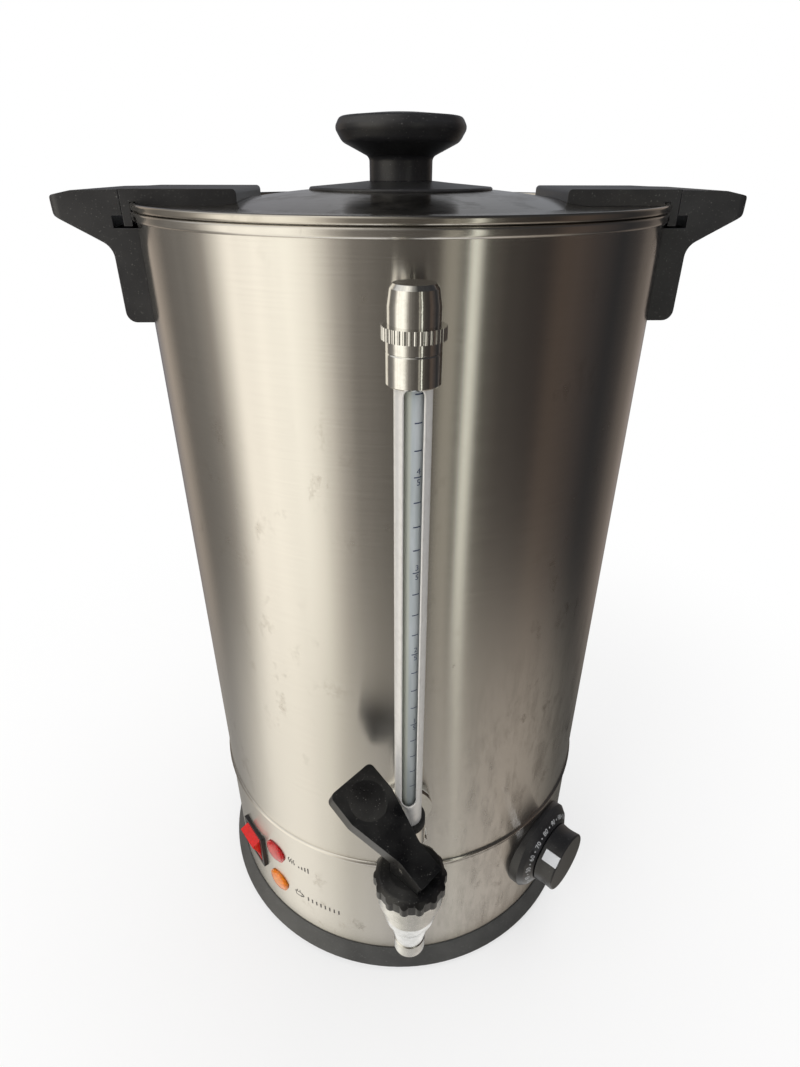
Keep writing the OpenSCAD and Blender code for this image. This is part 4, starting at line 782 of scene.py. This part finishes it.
def digits(text, height):
    """Plain digits of Blender's own font, centred on the origin, in mm."""
    curve = bpy.data.curves.new("digits", "FONT")
    curve.body, curve.size = text, height / DIGIT_SHARE
    curve.align_x, curve.align_y = "CENTER", "CENTER"
    writer = bpy.data.objects.new("digits", curve)
    scene.collection.objects.link(writer)
    bpy.context.view_layer.update()
    mesh = bpy.data.meshes.new_from_object(writer)
    points = [Vector((v.co.x, v.co.y)) for v in mesh.vertices]
    faces = [tuple(p.vertices) for p in mesh.polygons]
    bpy.data.objects.remove(writer)
    bpy.data.curves.remove(curve)
    bpy.data.meshes.remove(mesh)
    return points, faces


def moved(drawing, dx, dy):
    return [p + Vector((dx, dy)) for p in drawing[0]], drawing[1]


def wrapped(name, drawings, wrap, finish, body="urn"):
    """One piece from flat drawings, each point placed by the wrap."""
    vertices, faces = [], []
    for points, polygons in drawings:
        faces += [tuple(i + len(vertices) for i in polygon) for polygon in polygons]
        vertices += [wrap(p.x, p.y) for p in points]
    piece = new_mesh(name, vertices, faces)
    piece.data.materials.append(finish)
    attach(piece, body)
    return piece


print("digits and strokes ready, the digit 8 has", len(digits("8", 4)[0]), "points")

# %% [markdown]
# Ink is a thin opaque film. It has no depth to show, but it wears: where cleaning has rubbed it, the metal
# or glass shines through. A noise pattern finer than the digits makes it patchy.

# %% Printing inks


def ink(name, hex_colour, thin_colour, roughness):
    finish, tree = new_finish(name)
    where = object_place(tree)
    thin = between(tree, noise(tree, where, [0.8] * 3, detail=2), 0.5, 0.7)
    tone = blend_colours(tree, thin, linear(hex_colour), linear(thin_colour))
    film = add(tree, "ShaderNodeBsdfPrincipled", {"Base Color": tone, "Roughness": roughness})
    show(tree, film)
    return finish


blue_ink = ink("blue_glass_ink", "#27304F", "#4C5570", 0.4)
white_ink = ink("white_pad_printed_ink", "#C9CACA", "#8C8D8D", 0.5)
grey_ink = ink("dark_grey_screen_ink", "#3E3B39", "#6B6762", 0.5)
print("inks: 3")

# %% Scale on the sight tube
glass_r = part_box("gauge_glass")[1].x / MM
SCALE_FOOT, SCALE_STEP, SCALE_TICKS = 209.6, 10.85, 20
TICK_START, TICK_STEP, TICK_POINTS, TICK_PEN = 0.4, 0.4, 9, 0.5
FRACTION_H, FRACTION_X, FRACTION_OFF = 2.7, 2.3, 2.3
INK_LIFT = 0.06


def on_the_glass(x, y):
    """Flat x runs round the front of the tube, flat y is height, all in mm."""
    turned = x / glass_r
    r = glass_r + INK_LIFT
    return Vector((r * math.sin(turned), gauge_y / MM - r * math.cos(turned), y)) * MM


scale_marks = []
for tick in range(SCALE_TICKS):
    height = SCALE_FOOT + tick * SCALE_STEP
    tick_line = [(TICK_START + TICK_STEP * i, height) for i in range(TICK_POINTS)]
    scale_marks.append(stroke(tick_line, TICK_PEN))
    # Every fourth tick carries its number of fifths, as one digit over another with the tick between.
    if tick % 4 == 0 and tick:
        scale_marks.append(moved(digits(str(tick // 4), FRACTION_H), FRACTION_X, height + FRACTION_OFF))
        scale_marks.append(moved(digits("5", FRACTION_H), FRACTION_X, height - FRACTION_OFF))
scale = wrapped("gauge_scale", scale_marks, on_the_glass, blue_ink)
print("scale:", SCALE_TICKS, "ticks,", len(scale.data.polygons), "faces")

# %% [markdown]
# Two edges are finished as smooth rolls. The slot of the sight tube's guard has a thin rolled edge, which is
# the bright line round it, and the sheet of the drum is rolled outwards at its rim. Each is one closed sweep:
# a small outline carried along a path, with as many rings as the path has points.

# %% Rolled edges of the guard's slot and of the rim


def closed_sweep(name, path, outline, middle_of):
    """Carries an outline of (outwards, sideways) offsets in mm along a closed path of points in mm."""
    vertices, faces = [], []
    count, sides = len(path), len(outline)
    for i, point in enumerate(path):
        following = (i + 1) % count
        along = (path[following] - path[i - 1]).normalized()
        away = point - middle_of
        away = Vector((away.x, away.y, 0)).normalized()
        aside = along.cross(away).normalized()
        for k, (outwards, sideways) in enumerate(outline):
            vertices.append((point + away * outwards + aside * sideways) * MM)
            after = (k + 1) % sides
            here, there = i * sides, following * sides
            faces.append((here + k, here + after, there + after, there + k))
    swept = new_mesh(name, vertices, faces)
    swept.data.shade_smooth()
    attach(swept, "urn")
    return swept


guard_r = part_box("gauge_guard")[1].x / MM
SLOT_W, SLOT_LOW, SLOT_HIGH = 8.3, 196.0, 419.3
BEAD_R, BEAD_SINK, BEAD_SIDES = 0.55, 0.2, 8
HALF_TURN_STEPS = 12
half_slot = SLOT_W / 2
half_turn = [math.pi * i / HALF_TURN_STEPS for i in range(HALF_TURN_STEPS + 1)]
slot_top, slot_foot = SLOT_HIGH - half_slot, SLOT_LOW + half_slot
slot_edge = [(half_slot * math.cos(t), slot_top + half_slot * math.sin(t)) for t in half_turn]
slot_edge += [(-half_slot * math.cos(t), slot_foot - half_slot * math.sin(t)) for t in half_turn]
gauge_axis = Vector((0, gauge_y / MM, 0))
bead_at = guard_r - BEAD_SINK
slot_path = [gauge_axis + Vector((x, -math.sqrt(bead_at**2 - x * x), z)) for x, z in slot_edge]
bead_turns = [2 * math.pi * i / BEAD_SIDES for i in range(BEAD_SIDES)]
bead = [(BEAD_R * math.cos(t), BEAD_R * math.sin(t)) for t in bead_turns]
slot_bead = closed_sweep("guard_slot_bead", slot_path, bead, gauge_axis)
slot_bead.data.materials.append(anodised)

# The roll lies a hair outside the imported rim: its outline is a slot shape, 4 mm high with round ends.
SHEET, ROLL_H, ROLL_LIFT, ROLL_STEPS = 0.8, 4.0, 0.06, 240
rim_r, sheet_inside = drum_r / MM, skirt_r / MM - SHEET
roll_middle, half_roll = (rim_r + sheet_inside) / 2, (rim_r - sheet_inside) / 2
roll_r, straight = half_roll + ROLL_LIFT, ROLL_H / 2 - half_roll
roll = [(roll_r * math.cos(t), straight + roll_r * math.sin(t)) for t in half_turn]
roll += [(-roll_r * math.cos(t), -straight - roll_r * math.sin(t)) for t in half_turn]
turns = [2 * math.pi * i / ROLL_STEPS for i in range(ROLL_STEPS)]
roll_z = rim_z / MM - ROLL_H / 2
rim_path = [Vector((roll_middle * math.cos(t), roll_middle * math.sin(t), roll_z)) for t in turns]
rolled_rim = closed_sweep("rolled_rim", rim_path, roll, Vector((0, 0, 0)))
rolled_rim.data.materials.append(brushed_304)
print("slot bead:", len(slot_path), "rings")
print("rolled rim:", ROLL_STEPS, "rings,", round(2 * half_roll, 1), "mm wide")

# %% [markdown]
# The dial's numbers stand on the sloping face of its bezel, which is a flat cone round the knob. Each
# number is wrapped on that cone, with its foot towards the knob.

# %% Numbers of the dial, with a dot between each two
DIAL_AZIMUTH, DIAL_Z = math.radians(46.6), 68.5
NUMBER_R, NUMBER_H = 24.6, 3.4
CONE_FOOT_R, CONE_FOOT, CONE_TOP_R, CONE_TOP = 28.0, 6.0, 21.1, 9.5
FIRST_ANGLE, ANGLE_STEP = 217.0, 22.5
FIRST_NUMBER, LAST_NUMBER, NUMBER_STEP = 30, 110, 10
# Three digits stand closer to their neighbours than two, so they are drawn a little smaller.
LONG_NUMBER_SHARE = 0.85
DOT_R, DOT_SIDES = 0.55, 12
dial_out = Vector((math.sin(DIAL_AZIMUTH), -math.cos(DIAL_AZIMUTH), 0))
dial_right = Vector((math.cos(DIAL_AZIMUTH), math.sin(DIAL_AZIMUTH), 0))


def on_the_dial(angle):
    """A wrap for one number: x runs clockwise round the cone, y outwards from the number's middle."""

    def wrap(x, y):
        r = NUMBER_R + y
        turned = math.radians(angle) - x / NUMBER_R
        rise = CONE_FOOT + (CONE_FOOT_R - r) / (CONE_FOOT_R - CONE_TOP_R) * (CONE_TOP - CONE_FOOT)
        flat_point = dial_right * (r * math.cos(turned)) + Vector((0, 0, DIAL_Z + r * math.sin(turned)))
        return (flat_point + dial_out * (skirt_r / MM + rise + INK_LIFT)) * MM

    return wrap


dot_turns = [2 * math.pi * i / DOT_SIDES for i in range(DOT_SIDES)]
for count, number in enumerate(range(FIRST_NUMBER, LAST_NUMBER + 1, NUMBER_STEP)):
    angle = FIRST_ANGLE - ANGLE_STEP * count
    marks = [digits(str(number), NUMBER_H if number < 100 else NUMBER_H * LONG_NUMBER_SHARE)]
    wrapped(f"dial_number_{number}", marks, on_the_dial(angle), white_ink)
    if number < LAST_NUMBER:
        dot = [Vector((DOT_R * math.cos(t), DOT_R * math.sin(t))) for t in dot_turns]
        wrap = on_the_dial(angle - ANGLE_STEP / 2)
        dot_name = f"dial_dot_{number + NUMBER_STEP // 2}"
        wrapped(dot_name, [(dot, [tuple(range(DOT_SIDES))])], wrap, white_ink)
print("dial numbers from", FIRST_NUMBER, "to", LAST_NUMBER)

# %% [markdown]
# Two signs stand beside the lamps. Three waves and rising bars say that the water is being heated, and a
# cup with level bars says that it is being kept warm. They are plain pen strokes on the skirt.

# %% Signs beside the lamps


def on_the_skirt(azimuth_deg, height):
    def wrap(x, y):
        turned = math.radians(azimuth_deg) + x * MM / skirt_r
        r = skirt_r / MM + INK_LIFT
        return Vector((r * math.sin(turned), -r * math.cos(turned), height + y)) * MM

    return wrap


PEN, BROAD_PEN, FINE_PEN = 0.75, 1.0, 0.6
# Each sign starts at an azimuth in degrees and a height in mm, beside its lamp.
HEAT_SIGN_AT, WARM_SIGN_AT = (-36.5, 79.0), (-35.2, 46.0)
wave_steps = [i * 0.5 for i in range(13)]
waves_sign = [
    stroke([(2.1 * k + 0.55 * math.sin(1.2 * t), 0.85 * t - 2.6) for t in wave_steps], PEN)
    for k in range(3)
]
rising = [stroke([(8.5 + 2.6 * k, -2.6), (8.5 + 2.6 * k, -1.0 + 1.2 * k)], BROAD_PEN) for k in range(4)]
heat_sign = wrapped(
    "heat_sign", waves_sign + rising, on_the_skirt(*HEAT_SIGN_AT), grey_ink
)
cup = stroke([(0, 1.6), (0.7, -2.4), (5.0, -2.4), (5.7, 1.6), (0, 1.6)], PEN)
ear_turns = [math.pi * i / 8 for i in range(9)]
ear = stroke([(5.5 + 1.6 * math.sin(t), -0.3 + 1.4 * math.cos(t)) for t in ear_turns], PEN)
steam = [
    stroke([(1.6 + 2.2 * k, 2.5), (2.0 + 2.2 * k, 3.2), (1.6 + 2.2 * k, 4.0)], FINE_PEN)
    for k in range(2)
]
level = [stroke([(11 + 3.4 * k, -2.4), (11 + 3.4 * k, 1.6)], BROAD_PEN) for k in range(8)]
warm_sign = wrapped(
    "keep_warm_sign",
    [cup, ear, *steam, *level],
    on_the_skirt(*WARM_SIGN_AT),
    grey_ink,
)
print("signs:", len(heat_sign.data.polygons), "and", len(warm_sign.data.polygons), "faces")
